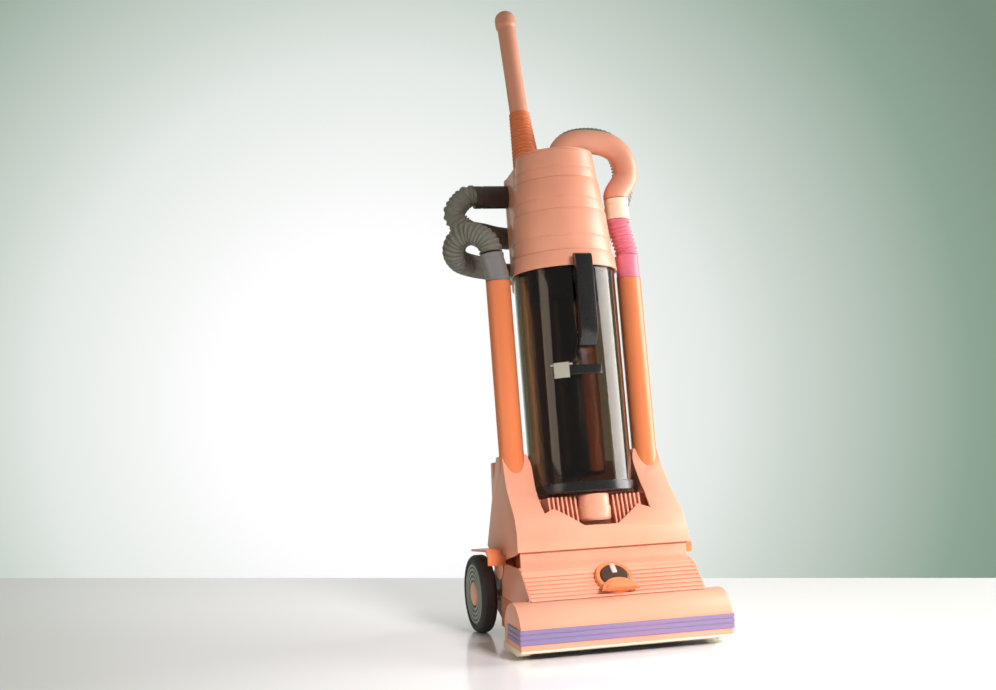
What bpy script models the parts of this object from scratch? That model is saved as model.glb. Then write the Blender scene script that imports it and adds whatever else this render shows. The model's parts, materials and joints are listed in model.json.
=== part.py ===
"""Upright vacuum cleaner with a clear cyclone bin, modelled as an assembly of separate pieces.

Metres, +Z up. The front faces -Y. The origin is on the floor below the middle of the machine.
Two frames carry the pieces: `head_frame`, which stands on the floor, and `upright_frame`,
whose origin is on the recline pivot and which leans back by LEAN at rest.
"""
import math

import bmesh
import bpy
from mathutils import Matrix, Vector

# ---- driving dimensions (metres, degrees) ----
LEAN = 10.0                 # backward lean of the body at rest
WALL = 0.003                # moulded wall
GAP = 0.0003                # clearance between touching pieces

HEAD_WIDTH = 0.320          # brush hood, end to end
HOOD_Y = -0.117             # brush axis, fore and aft
HOOD_Z = 0.036              # brush axis height
HOOD_RADIUS = 0.0415
HOOD_FLOOR = 0.0165         # lower rim of the hood
BRISTLE_RADIUS = 0.033

PIVOT_Y = 0.030
PIVOT_Z = 0.111
WHEEL_Y = 0.0857
WHEEL_RADIUS = 0.059
WHEEL_WIDTH = 0.024
AXLE_RADIUS = 0.005
ROLLER_Y = -0.055
ROLLER_RADIUS = 0.009
ROLLER_HALF = 0.010
BAND_RADIUS = 0.0945           # recessed band above the ribs, round the pivot
SIDE_FLOOR = 0.0635
BELT_WIDTH = 0.010
PULLEY_RADIUS = 0.009
BRUSH_PULLEY_RADIUS = 0.0142
REAR_COVER_HALF = 0.114
REAR_COVER_TOP = 0.158
CATCH_Y = -0.0655
CATCH_RADIUS = 0.0245

BIN_RADIUS = 0.0785
BIN_LENGTH = 0.3455         # from the base ring to the top edge
BIN_Y = -0.015              # bin axis behind the pivot axis
BIN_BASE_Z = 0.0945
BIN_RING_HEIGHT = 0.016
TUBE_RADIUS = 0.019
TUBE_SPACING = 0.0095       # free space between the bin and a side tube
HORN_TOP = 0.1605
TUBE_SOCKET_Z = 0.110

FLANGE_OVERLAP = 0.014      # how far the flange hangs over the bin
FLANGE_HEIGHT = 0.0255
BAND_HEIGHTS = (0.0655, 0.052, 0.047)
BAND_RADII = ((0.0785, 0.0735), (0.0725, 0.0662), (0.0652, 0.0602))
BAND_STEP = 0.0008

LOBE_Y = 0.121
LOBE_RADIUS = 0.042
WAND_TILT = 11.5            # the wand leans this much more than the body
WAND_RADIUS = 0.0157
WAND_LENGTH = 0.322         # above the socket
WAND_SPIGOT = 0.075         # below the socket's top
SLEEVE_RADIUS = 0.0238
SLEEVE_LENGTH = 0.122
CAP_RADIUS = 0.0178
CAP_LENGTH = 0.034

NECK_RADIUS = 0.0193
HOSE_RADIUS = 0.0182
HOSE_CUFF_RADIUS = 0.0186

# ---- derived dimensions ----
HEAD_HALF = HEAD_WIDTH / 2
ROLLER_X = HEAD_HALF - 0.055
TUBE_X = BIN_RADIUS + TUBE_SPACING + TUBE_RADIUS
COVER_TOP_HALF = TUBE_X + TUBE_RADIUS - 0.0015
COVER_HALF = COVER_TOP_HALF + 0.0095
ARM_OUTER = COVER_HALF - WALL - 0.0025
ARM_INNER = ARM_OUTER - 0.008
BELT_X = ARM_INNER - 0.014
MOTOR_LEFT = 0.0025 - ARM_INNER
MOTOR_RIGHT = BELT_X - 0.0125
BIN_REAR = BIN_Y + BIN_RADIUS
WHEEL_INNER = COVER_HALF + 0.004
WHEEL_OUTER = WHEEL_INNER + WHEEL_WIDTH
WHEEL_MID = (WHEEL_INNER + WHEEL_OUTER) / 2
BIN_TOP_Z = BIN_BASE_Z + BIN_LENGTH + 0.010
FLANGE_Z = BIN_TOP_Z - FLANGE_OVERLAP
HOUSING_Z = FLANGE_Z + FLANGE_HEIGHT
HOUSING_TOP = HOUSING_Z + sum(BAND_HEIGHTS)
PORT_Y = LOBE_Y
PORT_Z = HOUSING_TOP - 0.0290
STRIP_FRONT = HOOD_Y - 0.0422
WAND_DIR = Vector((0, math.sin(math.radians(WAND_TILT)), math.cos(math.radians(WAND_TILT))))
WAND_FOOT = Vector((0, LOBE_Y, HOUSING_TOP))


def leaned(y, z):
    """Where a point of the upright frame lies fore and aft in the head frame."""
    angle = math.radians(LEAN)
    return PIVOT_Y + y * math.cos(angle) + z * math.sin(angle)


WAND_TIP = WAND_FOOT + WAND_DIR * WAND_LENGTH
DOME = [(0, 0), (CAP_RADIUS * 0.5, 0.0022), (CAP_RADIUS * 0.85, 0.0075), (CAP_RADIUS, 0.0150),
        (CAP_RADIUS, CAP_LENGTH - 0.002), (WAND_RADIUS + 0.0008, CAP_LENGTH)]   # radius, drop below the tip
TILT = math.radians(LEAN + WAND_TILT)
REAR = leaned(WAND_TIP.y, WAND_TIP.z) + max(r * math.cos(TILT) - drop * math.sin(TILT) for r, drop in DOME)
ORIGIN_SHIFT = -(STRIP_FRONT + REAR) / 2

for old in list(bpy.data.objects):
    bpy.data.objects.remove(old, do_unlink=True)
PARTS = bpy.data.collections.new("upright_vacuum_cleaner")
CUTTERS = bpy.data.collections.new("cutters")
for group in (PARTS, CUTTERS):
    bpy.context.scene.collection.children.link(group)

COLOURS = {
    "peach": ((0.90, 0.48, 0.30), 0.42, 0.0),
    "orange": ((0.86, 0.27, 0.10), 0.42, 0.0),
    "cream": ((0.90, 0.80, 0.62), 0.45, 0.0),
    "lavender": ((0.46, 0.38, 0.68), 0.50, 0.0),
    "black": ((0.02, 0.02, 0.02), 0.35, 0.0),
    "rubber": ((0.03, 0.03, 0.03), 0.80, 0.0),
    "teal": ((0.36, 0.45, 0.43), 0.45, 0.0),
    "clear": ((0.10, 0.10, 0.09), 0.10, 0.0),
    "grey_hose": ((0.27, 0.27, 0.23), 0.45, 0.0),
    "grey_cuff": ((0.42, 0.42, 0.45), 0.45, 0.0),
    "pink": ((0.86, 0.36, 0.50), 0.45, 0.0),
    "steel": ((0.60, 0.60, 0.60), 0.30, 1.0),
    "silver": ((0.66, 0.66, 0.62), 0.40, 0.3),
    "smoke": ((0.10, 0.05, 0.04), 0.20, 0.0),
}
MATERIALS = {}


def material(name):
    """The Principled material for one finish, made once."""
    if name not in MATERIALS:
        colour, roughness, metallic = COLOURS[name]
        made = bpy.data.materials.new(name)
        made.use_nodes = True
        shader = made.node_tree.nodes["Principled BSDF"]
        shader.inputs["Base Color"].default_value = (*colour, 1)
        shader.inputs["Roughness"].default_value = roughness
        shader.inputs["Metallic"].default_value = metallic
        MATERIALS[name] = made
    return MATERIALS[name]


def frame_empty(name, place, lean=0.0, parent=None):
    """An empty that carries pieces, leaned back about the X axis."""
    empty = bpy.data.objects.new(name, None)
    PARTS.objects.link(empty)
    empty.location = place
    empty.rotation_euler = (math.radians(-lean), 0, 0)
    empty.parent = parent
    return empty


HEAD = frame_empty("head_frame", (0, ORIGIN_SHIFT, 0))
UPRIGHT = frame_empty("upright_frame", (0, PIVOT_Y, PIVOT_Z), LEAN, HEAD)
WAND = frame_empty("wand_frame", WAND_FOOT, WAND_TILT, UPRIGHT)


def add(name, mesh, finish, parent, place=(0, 0, 0), turn=(0, 0, 0), smooth=False):
    """Put a mesh in the scene as a named piece; a finish of None makes a cutter."""
    piece = bpy.data.objects.new(name, mesh)
    piece.location = place
    piece.rotation_euler = turn
    piece.parent = parent
    if finish is None:
        CUTTERS.objects.link(piece)
        piece.hide_render = True
        piece.display_type = "WIRE"
    else:
        PARTS.objects.link(piece)
        mesh.materials.append(material(finish))
    if smooth:
        mesh.shade_smooth()
        mesh.set_sharp_from_angle(angle=math.radians(35))
    return piece


def prism(name, outline, low, high, finish, parent, axis="X", width=None, **more):
    """A flat outline extruded from low to high along X, Y or Z.

    width, if given, maps a point's height to the share of low and high that it keeps.
    """
    place = {
        "X": lambda a, b, h: (h, a, b),
        "Y": lambda a, b, h: (a, h, b),
        "Z": lambda a, b, h: (a, b, h),
    }[axis]
    work = bmesh.new()
    base = work.faces.new([work.verts.new(place(a, b, low)) for a, b in outline])
    grown = bmesh.ops.extrude_face_region(work, geom=[base])
    rise = Vector(place(0, 0, high - low))
    bmesh.ops.translate(work, vec=rise, verts=[v for v in grown["geom"] if isinstance(v, bmesh.types.BMVert)])
    if width:
        for vert in work.verts:
            vert.co.x *= width(vert.co.z)
    bmesh.ops.recalc_face_normals(work, faces=work.faces)
    mesh = bpy.data.meshes.new(name)
    work.to_mesh(mesh)
    work.free()
    return add(name, mesh, finish, parent, **more)


def box(name, low, high, finish, parent, **more):
    """A block between two corners."""
    outline = [(low[0], low[1]), (high[0], low[1]), (high[0], high[1]), (low[0], high[1])]
    return prism(name, outline, low[2], high[2], finish, parent, axis="Z", **more)


def turned(name, profile, finish, parent, steps=40, **more):
    """A closed profile of (radius, height) points turned about local Z.

    The points run down the outer side first. A solid's profile starts and ends on the axis.
    """
    mesh = bpy.data.meshes.new(name)
    closed = profile[0][0] > 0
    count = len(profile)
    edges = [(i, (i + 1) % count) for i in range(count if closed else count - 1)]
    mesh.from_pydata([(r, 0, z) for r, z in profile], edges, [])
    piece = add(name, mesh, finish, parent, **more)
    screw = piece.modifiers.new("turn", "SCREW")
    screw.axis = "Z"
    screw.steps = steps
    screw.render_steps = steps
    screw.use_merge_vertices = True
    screw.merge_threshold = 0.00002
    screw.use_smooth_shade = True
    return piece


def ring(name, outer, inner, low, high, finish, parent, **more):
    """A plain tube about local Z, or a disc where inner is 0."""
    profile = [(outer, high), (outer, low), (inner, low), (inner, high)]
    if inner == 0:
        profile = [(0, high), (outer, high), (outer, low), (0, low)]
    return turned(name, profile, finish, parent, **more)


def smooth_path(points, per_span=4):
    """Points of a Catmull-Rom curve through the given points."""
    knots = [Vector(p) for p in points]
    knots = [2 * knots[0] - knots[1]] + knots + [2 * knots[-1] - knots[-2]]
    path = []
    for a, b, c, d in zip(knots, knots[1:], knots[2:], knots[3:]):
        for k in range(per_span):
            t = k / per_span
            path.append(0.5 * (2 * b + (c - a) * t + (2 * a - 5 * b + 4 * c - d) * t ** 2
                               + (3 * b - a - 3 * c + d) * t ** 3))
    path.append(knots[-2])
    return path


def tube(name, path, radius, finish, parent, resolution=2):
    """A round solid along a path, as a bevelled curve with filled caps."""
    curve = bpy.data.curves.new(name, "CURVE")
    curve.dimensions = "3D"
    curve.bevel_depth = radius
    curve.bevel_resolution = resolution
    curve.use_fill_caps = True
    spline = curve.splines.new("POLY")
    spline.points.add(len(path) - 1)
    for point, place in zip(spline.points, path):
        point.co = (*place, 1)
    return add(name, curve, finish, parent)


def cut(piece, *cutters, operation="DIFFERENCE"):
    """Boolean the cutters into a piece, in order."""
    for cutter in cutters:
        modifier = piece.modifiers.new(operation.lower(), "BOOLEAN")
        modifier.operation = operation
        modifier.solver = "EXACT"
        modifier.object = cutter
    return piece


def arc(centre, radius, start, end, count):
    """Points on a circle from start to end, in degrees."""
    angles = [math.radians(start + (end - start) * k / (count - 1)) for k in range(count)]
    return [(centre[0] + radius * math.cos(a), centre[1] + radius * math.sin(a)) for a in angles]


TO_X = (0, math.radians(90), 0)   # turns local Z to +X
SIDES = (("left", -1), ("right", 1))


# ---- cleaner head ----
def hood_outline(inset):
    """Section of the brush hood: a flat front, a round top and a flat back, open below."""
    radius = HOOD_RADIUS - inset
    front = HOOD_Y - HOOD_RADIUS + 0.0013 + inset
    low = HOOD_FLOOR if inset == 0 else HOOD_FLOOR - 0.005
    top = arc((HOOD_Y, HOOD_Z), radius, 166, 14, 12)
    return [(front, low)] + top + [(top[-1][0], low)]


def make_hood():
    """The rounded brush hood, a shell that is open below and where the belt comes in."""
    hood = prism("brush_hood", hood_outline(0), -HEAD_HALF, HEAD_HALF, "peach", HEAD)
    inside = prism("hood_inside", hood_outline(WALL), -HEAD_HALF + WALL, HEAD_HALF - WALL, None, HEAD)
    half = BELT_WIDTH / 2 + 0.002
    mouth = box("belt_mouth", (BELT_X - half, HOOD_Y + 0.02, 0.01),
                (BELT_X + half, HOOD_Y + 0.06, HOOD_Z + 0.034), None, HEAD)
    cut(hood, inside, mouth)


def make_bumper():
    """The soft strip along the front of the hood, wrapped round both ends."""
    front, back = STRIP_FRONT, HOOD_Y + 0.019
    face = HOOD_Y - HOOD_RADIUS + 0.0013 - GAP
    end, side = HEAD_HALF + 0.002, HEAD_HALF + GAP
    outline = [(-end, back), (-end, front), (end, front), (end, back),
               (side, back), (side, face), (-side, face), (-side, back)]
    prism("bumper_strip", outline, 0.0245, 0.0455, "lavender", HEAD, axis="Z")


def make_sole():
    """The sole plate with its suction mouth under the brush."""
    front, back = HOOD_Y - 0.041, HOOD_Y + 0.048
    outline = [(front, HOOD_FLOOR - GAP), (front, 0.0135), (HOOD_Y - 0.020, 0.006),
               (back, 0.006), (back, HOOD_FLOOR - GAP)]
    sole = prism("sole_plate", outline, -HEAD_HALF, HEAD_HALF, "cream", HEAD)
    mouth = box("sole_mouth", (-HEAD_HALF + 0.018, HOOD_Y - 0.030, 0),
                (HEAD_HALF - 0.018, HOOD_Y + 0.030, 0.03), None, HEAD)
    cut(sole, mouth)


def make_brush():
    """The brush roll: a fluted roller with its bearings and the belt that turns it."""
    fins = 6
    outline = []
    for k in range(fins):
        middle = k * 360 / fins
        outline += arc((0, 0), BRISTLE_RADIUS, middle - 4, middle + 4, 2)
        outline += arc((0, 0), 0.017, middle + 12, middle + 360 / fins - 12, 3)
    end = HEAD_HALF - 0.024
    belt_half = BELT_WIDTH / 2 + 0.003
    place = (0, HOOD_Y, HOOD_Z)
    brush = prism("brush_bar", outline, -end, end, "rubber", HEAD, place=place)
    groove_profile = [(0.05, belt_half), (0.05, -belt_half),
                      (BRUSH_PULLEY_RADIUS - GAP, -belt_half), (BRUSH_PULLEY_RADIUS - GAP, belt_half)]
    groove = turned("pulley_groove", groove_profile, None, HEAD, turn=TO_X, place=(BELT_X, HOOD_Y, HOOD_Z))
    shaft = ring("brush_shaft", 0.004, 0, -end - 0.010, end + 0.010, None, HEAD, turn=TO_X, place=place)
    cut(brush, groove)
    cut(brush, shaft, operation="UNION")
    for side, sign in SIDES:
        ring("brush_bearing_" + side, 0.012, 0.0043, end + 0.002, end + 0.012, "black", HEAD,
             turn=(0, sign * math.radians(90), 0), place=place, steps=24)
    reach = Vector((HOOD_Y - PIVOT_Y, HOOD_Z - PIVOT_Z))
    heading = math.degrees(math.atan2(reach.y, reach.x))
    spread = math.degrees(math.acos((BRUSH_PULLEY_RADIUS - PULLEY_RADIUS) / reach.length))

    def loop(extra):
        """The belt's outline round both pulleys, grown by extra."""
        near = arc((PIVOT_Y, PIVOT_Z), PULLEY_RADIUS + extra, heading + spread, heading + 360 - spread, 12)
        far = arc((HOOD_Y, HOOD_Z), BRUSH_PULLEY_RADIUS + extra, heading - spread, heading + spread, 12)
        return near + far

    half = BELT_WIDTH / 2
    belt = prism("drive_belt", loop(0.0022), BELT_X - half, BELT_X + half, "rubber", HEAD)
    cut(belt, prism("belt_inside", loop(GAP), BELT_X - 0.02, BELT_X + 0.02, None, HEAD))


def rib_face(share):
    """A point on the sloped front of the cover, from the hood (0) to its top (1)."""
    return (-0.1235 + 0.0435 * share, 0.0781 + 0.0362 * share)


def make_rib_cover():
    """The sloped front cover with its ribs, its recessed band and its side walls."""
    ribs = []
    count = 7
    for k in range(count):
        for step, depth in ((0.02, 0), (0.62, 0), (0.66, 0.0022), (0.98, 0.0022)):
            y, z = rib_face((k + step) / (count + 0.5))
            ribs.append((y + 0.64 * depth, z - 0.768 * depth))
    ribs.append(rib_face(1.0))
    pivot = (PIVOT_Y, PIVOT_Z)
    band = arc(pivot, BAND_RADIUS, 176.6, 156, 6)
    inner_band = arc(pivot, BAND_RADIUS - WALL, 156, 177, 6)
    back = [(-0.0755, 0.1105), (-0.1155, 0.0790)]
    outline = ribs + band + inner_band + back
    reach = COVER_HALF - WALL / 2
    trims = []
    for side, sign in SIDES:
        inner, outer = sorted((sign * (COVER_HALF - WALL - 0.002), sign * (COVER_HALF + 0.01)))
        trims.append(box("band_trim_" + side, (inner, -0.08, 0.1172), (outer, 0.0, 0.2), None, HEAD))
    cover = prism("rib_cover", outline, -reach, reach, "peach", HEAD)
    wall_outline = [(-0.1195, 0.0796), (-0.0795, 0.1131), (-0.0640, 0.1157), (0.014, 0.1157),
                    (0.021, 0.1080), (0.021, SIDE_FLOOR), (-0.0835, SIDE_FLOOR), (-0.0935, 0.0722),
                    (-0.106, 0.0776)]
    for side, sign in SIDES:
        inner, outer = sign * (COVER_HALF - WALL), sign * COVER_HALF
        wall = prism("cover_wall_" + side, wall_outline, min(inner, outer), max(inner, outer), None, HEAD)
        cut(cover, wall, operation="UNION")
    normal_turn = (math.atan2(0.64, 0.768), 0, 0)
    y, z = rib_face(0.56)
    place = (0, y, z)
    hole = ring("dial_hole", 0.0255, 0, -0.012, 0.012, None, HEAD, turn=normal_turn, place=place)
    cut(cover, hole, *trims)
    profile = [(0.0272, 0.0062), (0.0272, 0.0004), (0.0252, 0.0004), (0.0252, -0.004), (0.0215, -0.004),
               (0.0215, 0.0062)]
    turned("dial_surround", profile, "orange", HEAD, turn=normal_turn, place=place)
    dial = ring("height_dial", 0.0211, 0, -0.003, 0.0085, "smoke", HEAD, turn=normal_turn, place=place)
    bar = box("dial_bar", (-0.004, -0.018, 0.007), (0.004, 0.018, 0.0115), None, HEAD,
              turn=normal_turn, place=place)
    cut(dial, bar, operation="UNION")


def make_chassis():
    """The tray behind the brush, with the arms that hold the pivot and the wheels."""
    front, back = HOOD_Y + 0.0445, 0.030
    side = COVER_HALF - 0.0005
    chassis = box("head_chassis", (-side, front, 0.018), (side, back, 0.022), "orange", HEAD)
    solids = [box("tray_back", (-side, back - WALL, 0.020), (side, back, 0.046), None, HEAD)]
    arm = [(-0.030, 0.020), (0.030, 0.020), (0.098, 0.046), (0.098, 0.074), (0.052, 0.128),
           (0.010, 0.128), (-0.030, 0.070)]
    holes = []
    for label, sign in SIDES:
        inner, outer = sorted((sign * (side - WALL - 0.0005), sign * side))
        solids.append(box("tray_side_" + label, (inner, front, 0.020), (outer, back, 0.0625), None, HEAD))
        inner, outer = sorted((sign * ARM_INNER, sign * ARM_OUTER))
        solids.append(prism("arm_" + label, arm, inner, outer, None, HEAD))
        inner, outer = sorted((sign * (ARM_OUTER - 0.001), sign * (side - 0.001)))
        solids.append(box("rib_" + label, (inner, -0.028, 0.020), (outer, -0.020, 0.058), None, HEAD))
        holes.append(ring("axle_hole_" + label, AXLE_RADIUS + GAP, 0, -0.02, 0.02, None, HEAD, turn=TO_X,
                          place=(sign * ARM_OUTER, WHEEL_Y, WHEEL_RADIUS), steps=24))
        holes.append(ring("pivot_hole_" + label, 0.0070, 0, -0.02, 0.02, None, HEAD, turn=TO_X,
                          place=(sign * ARM_OUTER, PIVOT_Y, PIVOT_Z), steps=24))
        low, high = sorted((sign * (ROLLER_X - 0.014), sign * (ROLLER_X + 0.014)))
        holes.append(box("roller_window_" + label, (low, ROLLER_Y - 0.011, 0.010),
                         (high, ROLLER_Y + 0.011, 0.030), None, HEAD))
    cut(chassis, *solids, operation="UNION")
    cut(chassis, *holes)


def make_wheel(side, sign):
    """A rear wheel: tyre, ringed disc, centre cap, and the stub axle that it turns on."""
    place = (sign * WHEEL_MID, WHEEL_Y, WHEEL_RADIUS)
    turn = (0, sign * math.radians(90), 0)
    half = WHEEL_WIDTH / 2
    tread = WHEEL_RADIUS - 0.0115
    rounded = [(WHEEL_RADIUS - 0.004, half), (WHEEL_RADIUS - 0.001, half - 0.002),
               (WHEEL_RADIUS, half - 0.006)]
    profile = ([(tread, half)] + rounded + [(r, -z) for r, z in reversed(rounded)] + [(tread, -half)])
    turned("tyre_" + side, profile, "rubber", HEAD, steps=36, turn=turn, place=place)
    bore = AXLE_RADIUS + GAP
    disc = [(0, half - 0.003), (0.0185, half - 0.003), (0.0200, half - 0.001), (tread - GAP, half - 0.001),
            (tread - GAP, -half + 0.002), (0.010, -half + 0.002), (0.010, -half + 0.001),
            (bore, -half + 0.001), (bore, 0.006), (0, 0.006)]
    turned("wheel_disc_" + side, disc, "teal", HEAD, steps=28, turn=turn, place=place)
    cap = [(0, half + 0.0010), (0.010, half + 0.0006), (0.0180, half - 0.0010), (0.0180, half - 0.0027),
           (0, half - 0.0027)]
    turned("wheel_cap_" + side, cap, "peach", HEAD, steps=32, turn=turn, place=place)
    ring("axle_" + side, AXLE_RADIUS, 0, ARM_INNER - WHEEL_MID, 0.0055, "steel", HEAD, turn=turn,
         place=place, steps=24)


def make_guard(side, sign):
    """The ledge over a wheel, with a short lip in front and a foot at the side."""
    over = WHEEL_RADIUS * 2 + 0.0065
    outer = [(WHEEL_Y + 0.006, over + 0.0005), (WHEEL_Y + 0.002, over + 0.0030), (0.0079, over + 0.0130),
             (-0.006, over + 0.0040), (-0.006, over - 0.0100)]
    inner = [(-0.0025, over - 0.0100), (-0.0025, over + 0.0015), (0.009, over + 0.0085),
             (WHEEL_Y + 0.003, over - 0.0005)]
    low, high = sorted((sign * (COVER_HALF + 0.0042), sign * WHEEL_OUTER))
    guard = prism("wheel_guard_" + side, outer + inner, low, high, "orange", HEAD)
    low, high = sorted((sign * (COVER_HALF + 0.0010), sign * (COVER_HALF + 0.006)))
    foot = box("guard_foot_" + side, (low, -0.0060, over - 0.0100), (high, 0.0040, over + 0.0030), None, HEAD)
    cut(guard, foot, operation="UNION")


def make_pivot_cap(side, sign):
    """The round cap over the recline pivot, with its pin through the arm."""
    base = COVER_HALF + 0.0006
    cap = [(0, 0.0030), (0.020, 0.0028), (0.0235, 0.0018), (0.0235, 0), (0.0065, 0),
           (0.0065, ARM_INNER + 0.0005 - base), (0, ARM_INNER + 0.0005 - base)]
    turned("pivot_cap_" + side, cap, "peach", HEAD, steps=24, turn=(0, sign * math.radians(90), 0),
           place=(sign * base, PIVOT_Y, PIVOT_Z))


def make_front_rollers():
    """The carriage behind the mouth and its two floor rollers."""
    inner, outer = ROLLER_HALF + 0.0006, ROLLER_HALF + 0.0046
    tip, root, back = ROLLER_Y - 0.006, ROLLER_Y + 0.0125, ROLLER_Y + 0.018
    forks = []
    for centre in (-ROLLER_X, ROLLER_X):
        forks += [(centre - outer, root), (centre - outer, tip), (centre - inner, tip), (centre - inner, root),
                  (centre + inner, root), (centre + inner, tip), (centre + outer, tip), (centre + outer, root)]
    outline = [(-ROLLER_X - outer, back)] + forks[1:-1] + [(ROLLER_X + outer, back)]
    prism("roller_carriage", outline, 0.0065, 0.0125, "black", HEAD, axis="Z")
    for side, sign in SIDES:
        ring("front_roller_" + side, ROLLER_RADIUS, 0, -ROLLER_HALF, ROLLER_HALF, "rubber", HEAD, turn=TO_X,
             place=(sign * ROLLER_X, ROLLER_Y, ROLLER_RADIUS), steps=28)


def make_pedal():
    """The foot pedal at the rear that frees the recline."""
    outline = [(0.0305, 0.030), (0.046, 0.030), (0.074, 0.022), (0.074, 0.026), (0.047, 0.0345),
               (0.0305, 0.0345)]
    prism("recline_pedal", outline, -0.030, 0.012, "black", HEAD)


def make_head():
    """Every piece of the cleaner head."""
    make_hood()
    make_bumper()
    make_sole()
    make_brush()
    make_rib_cover()
    make_chassis()
    for side, sign in SIDES:
        make_wheel(side, sign)
        make_guard(side, sign)
        make_pivot_cap(side, sign)
    make_front_rollers()
    make_pedal()


make_head()


# ---- upright body ----
def cover_half(z):
    """Half width of the motor cover at a height: it narrows towards the horns."""
    return COVER_HALF - (COVER_HALF - COVER_TOP_HALF) * (z - 0.012) / (HORN_TOP - 0.012)


def bin_cutter(name, radius, low, high):
    """A cylinder on the bin's axis."""
    return ring(name, radius, 0, low, high, None, UPRIGHT, place=(0, BIN_Y, 0), steps=36)


def make_motor_cover():
    """The A-shaped front cover, whose two horns hold the side tubes."""
    front = [(-0.1008, 0.012), (-0.0975, 0.035), (-0.088, 0.060), (-0.068, 0.083), (-0.048, 0.106),
             (-0.033, 0.134), (-0.0225, HORN_TOP)]
    back = [(0.0100, HORN_TOP), (0.066, 0.0310), (0.045, 0.0170), (0.015, 0.0072), (-0.0365, 0.0050),
            (-0.080, 0.0080)]
    shell = prism("motor_cover", front + back, -1, 1, "peach", UPRIGHT, width=cover_half)
    inner_front = [(-0.0990, 0.000), (-0.0945, 0.034), (-0.0855, 0.0575), (-0.0680, 0.078)]
    inner = inner_front + [(-0.0575, 0.0905), (0.090, 0.0905), (0.090, 0.000)]
    cavity = prism("cover_cavity", inner, -1, 1, None, UPRIGHT, width=lambda z: cover_half(z) - WALL)
    dip, shoulder = 0.026, 0.066
    rim = [(0.092, HORN_TOP + 0.02), (0.081, 0.144), (0.0845, 0.092), (0.083, 0.0665), (shoulder, 0.0735),
           (dip, 0.0455)]
    notch_outline = rim + [(-x, z) for x, z in reversed(rim)]
    notch = prism("cover_notch", notch_outline, -0.2, -0.010, None, UPRIGHT, axis="Y")
    saddle = bin_cutter("bin_saddle", BIN_RADIUS + 0.0045, BIN_BASE_Z - 0.0045, HORN_TOP + 0.05)
    cut(shell, cavity, notch, saddle)
    for side, sign in SIDES:
        bore = ring("tube_socket_" + side, TUBE_RADIUS + GAP, 0, TUBE_SOCKET_Z - GAP, HORN_TOP + 0.05, None,
                    UPRIGHT, place=(sign * TUBE_X, BIN_Y, 0), steps=28)
        cut(shell, bore)


def make_motor():
    """The motor housing on the pivot axis, the motor, its fan and its shaft."""
    barrel = arc((0, 0), 0.052, 120, 420, 26)
    housing = prism("motor_housing", barrel, MOTOR_LEFT, MOTOR_RIGHT, "orange", UPRIGHT)
    room = ring("motor_room", 0.049, 0, MOTOR_LEFT + WALL, MOTOR_RIGHT - WALL, None, UPRIGHT, turn=TO_X,
                steps=28)
    hatch = box("motor_hatch", (-0.060, -0.020, 0.030), (0.060, 0.020, 0.10), None, UPRIGHT)
    bore = ring("shaft_bore", 0.0050, 0, 0.05, 0.20, None, UPRIGHT, turn=TO_X, steps=24)
    cut(housing, room, hatch, bore)
    ring("motor_can", 0.040, 0.0125, -0.088, 0.070, "steel", UPRIGHT, turn=TO_X, steps=36)
    shaft_end = BELT_X + BELT_WIDTH / 2 + 0.001
    low = BELT_X - BELT_WIDTH / 2 - 0.001
    shaft = [(0, shaft_end), (PULLEY_RADIUS, shaft_end), (PULLEY_RADIUS, low), (0.004, low), (0.004, 0.068),
             (0.011, 0.060), (0.011, -0.080), (0.004, -0.085), (0.004, -0.108), (0, -0.108)]
    turned("motor_shaft", shaft, "steel", UPRIGHT, turn=TO_X, steps=24)
    ring("fan_impeller", 0.043, 0.0043, -0.104, -0.094, "black", UPRIGHT, turn=TO_X, steps=36)


def make_rear_cover():
    """The back of the body below the bin, with its switch and its cord inlet."""
    y = BIN_REAR
    outline = [(y + 0.0065, 0.0320), (y + 0.0145, 0.0345), (y + 0.0245, 0.048), (y + 0.0235, 0.110),
               (y + 0.0165, REAR_COVER_TOP), (y + 0.0055, REAR_COVER_TOP), (y + 0.0055, 0.0900),
               (y + 0.0005, 0.0880), (y + 0.0005, 0.0340)]
    rear = prism("rear_cover", outline, -REAR_COVER_HALF, REAR_COVER_HALF, "peach", UPRIGHT)
    well = box("switch_well", (-0.0135, y + 0.0145, 0.0905), (0.0135, y + 0.0365, 0.1095), None, UPRIGHT)
    inlet = ring("inlet_bore", 0.0085 + GAP, 0, 0.01, 0.05, None, UPRIGHT,
                 turn=(math.radians(-90), 0, 0), place=(0.075, y - 0.0085, 0.065), steps=24)
    cut(rear, well, inlet)
    switch = arc((y + 0.0265, 0.100), 0.0085, 150, 210, 5) + [
        (y + 0.0270, 0.0935), (y + 0.0290, 0.100), (y + 0.0270, 0.1065)]
    prism("power_switch", switch, -0.0125, 0.0125, "black", UPRIGHT)
    gland = [(0.0105, 0.0375), (0.0105, 0.0345), (0.0085, 0.0341), (0.0085, 0.015), (0.0038, 0.015),
             (0.0038, 0.0375)]
    turned("cord_inlet", gland, "black", UPRIGHT, turn=(math.radians(-90), 0, 0),
           place=(0.075, y - 0.0085, 0.065), steps=24)


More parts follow.
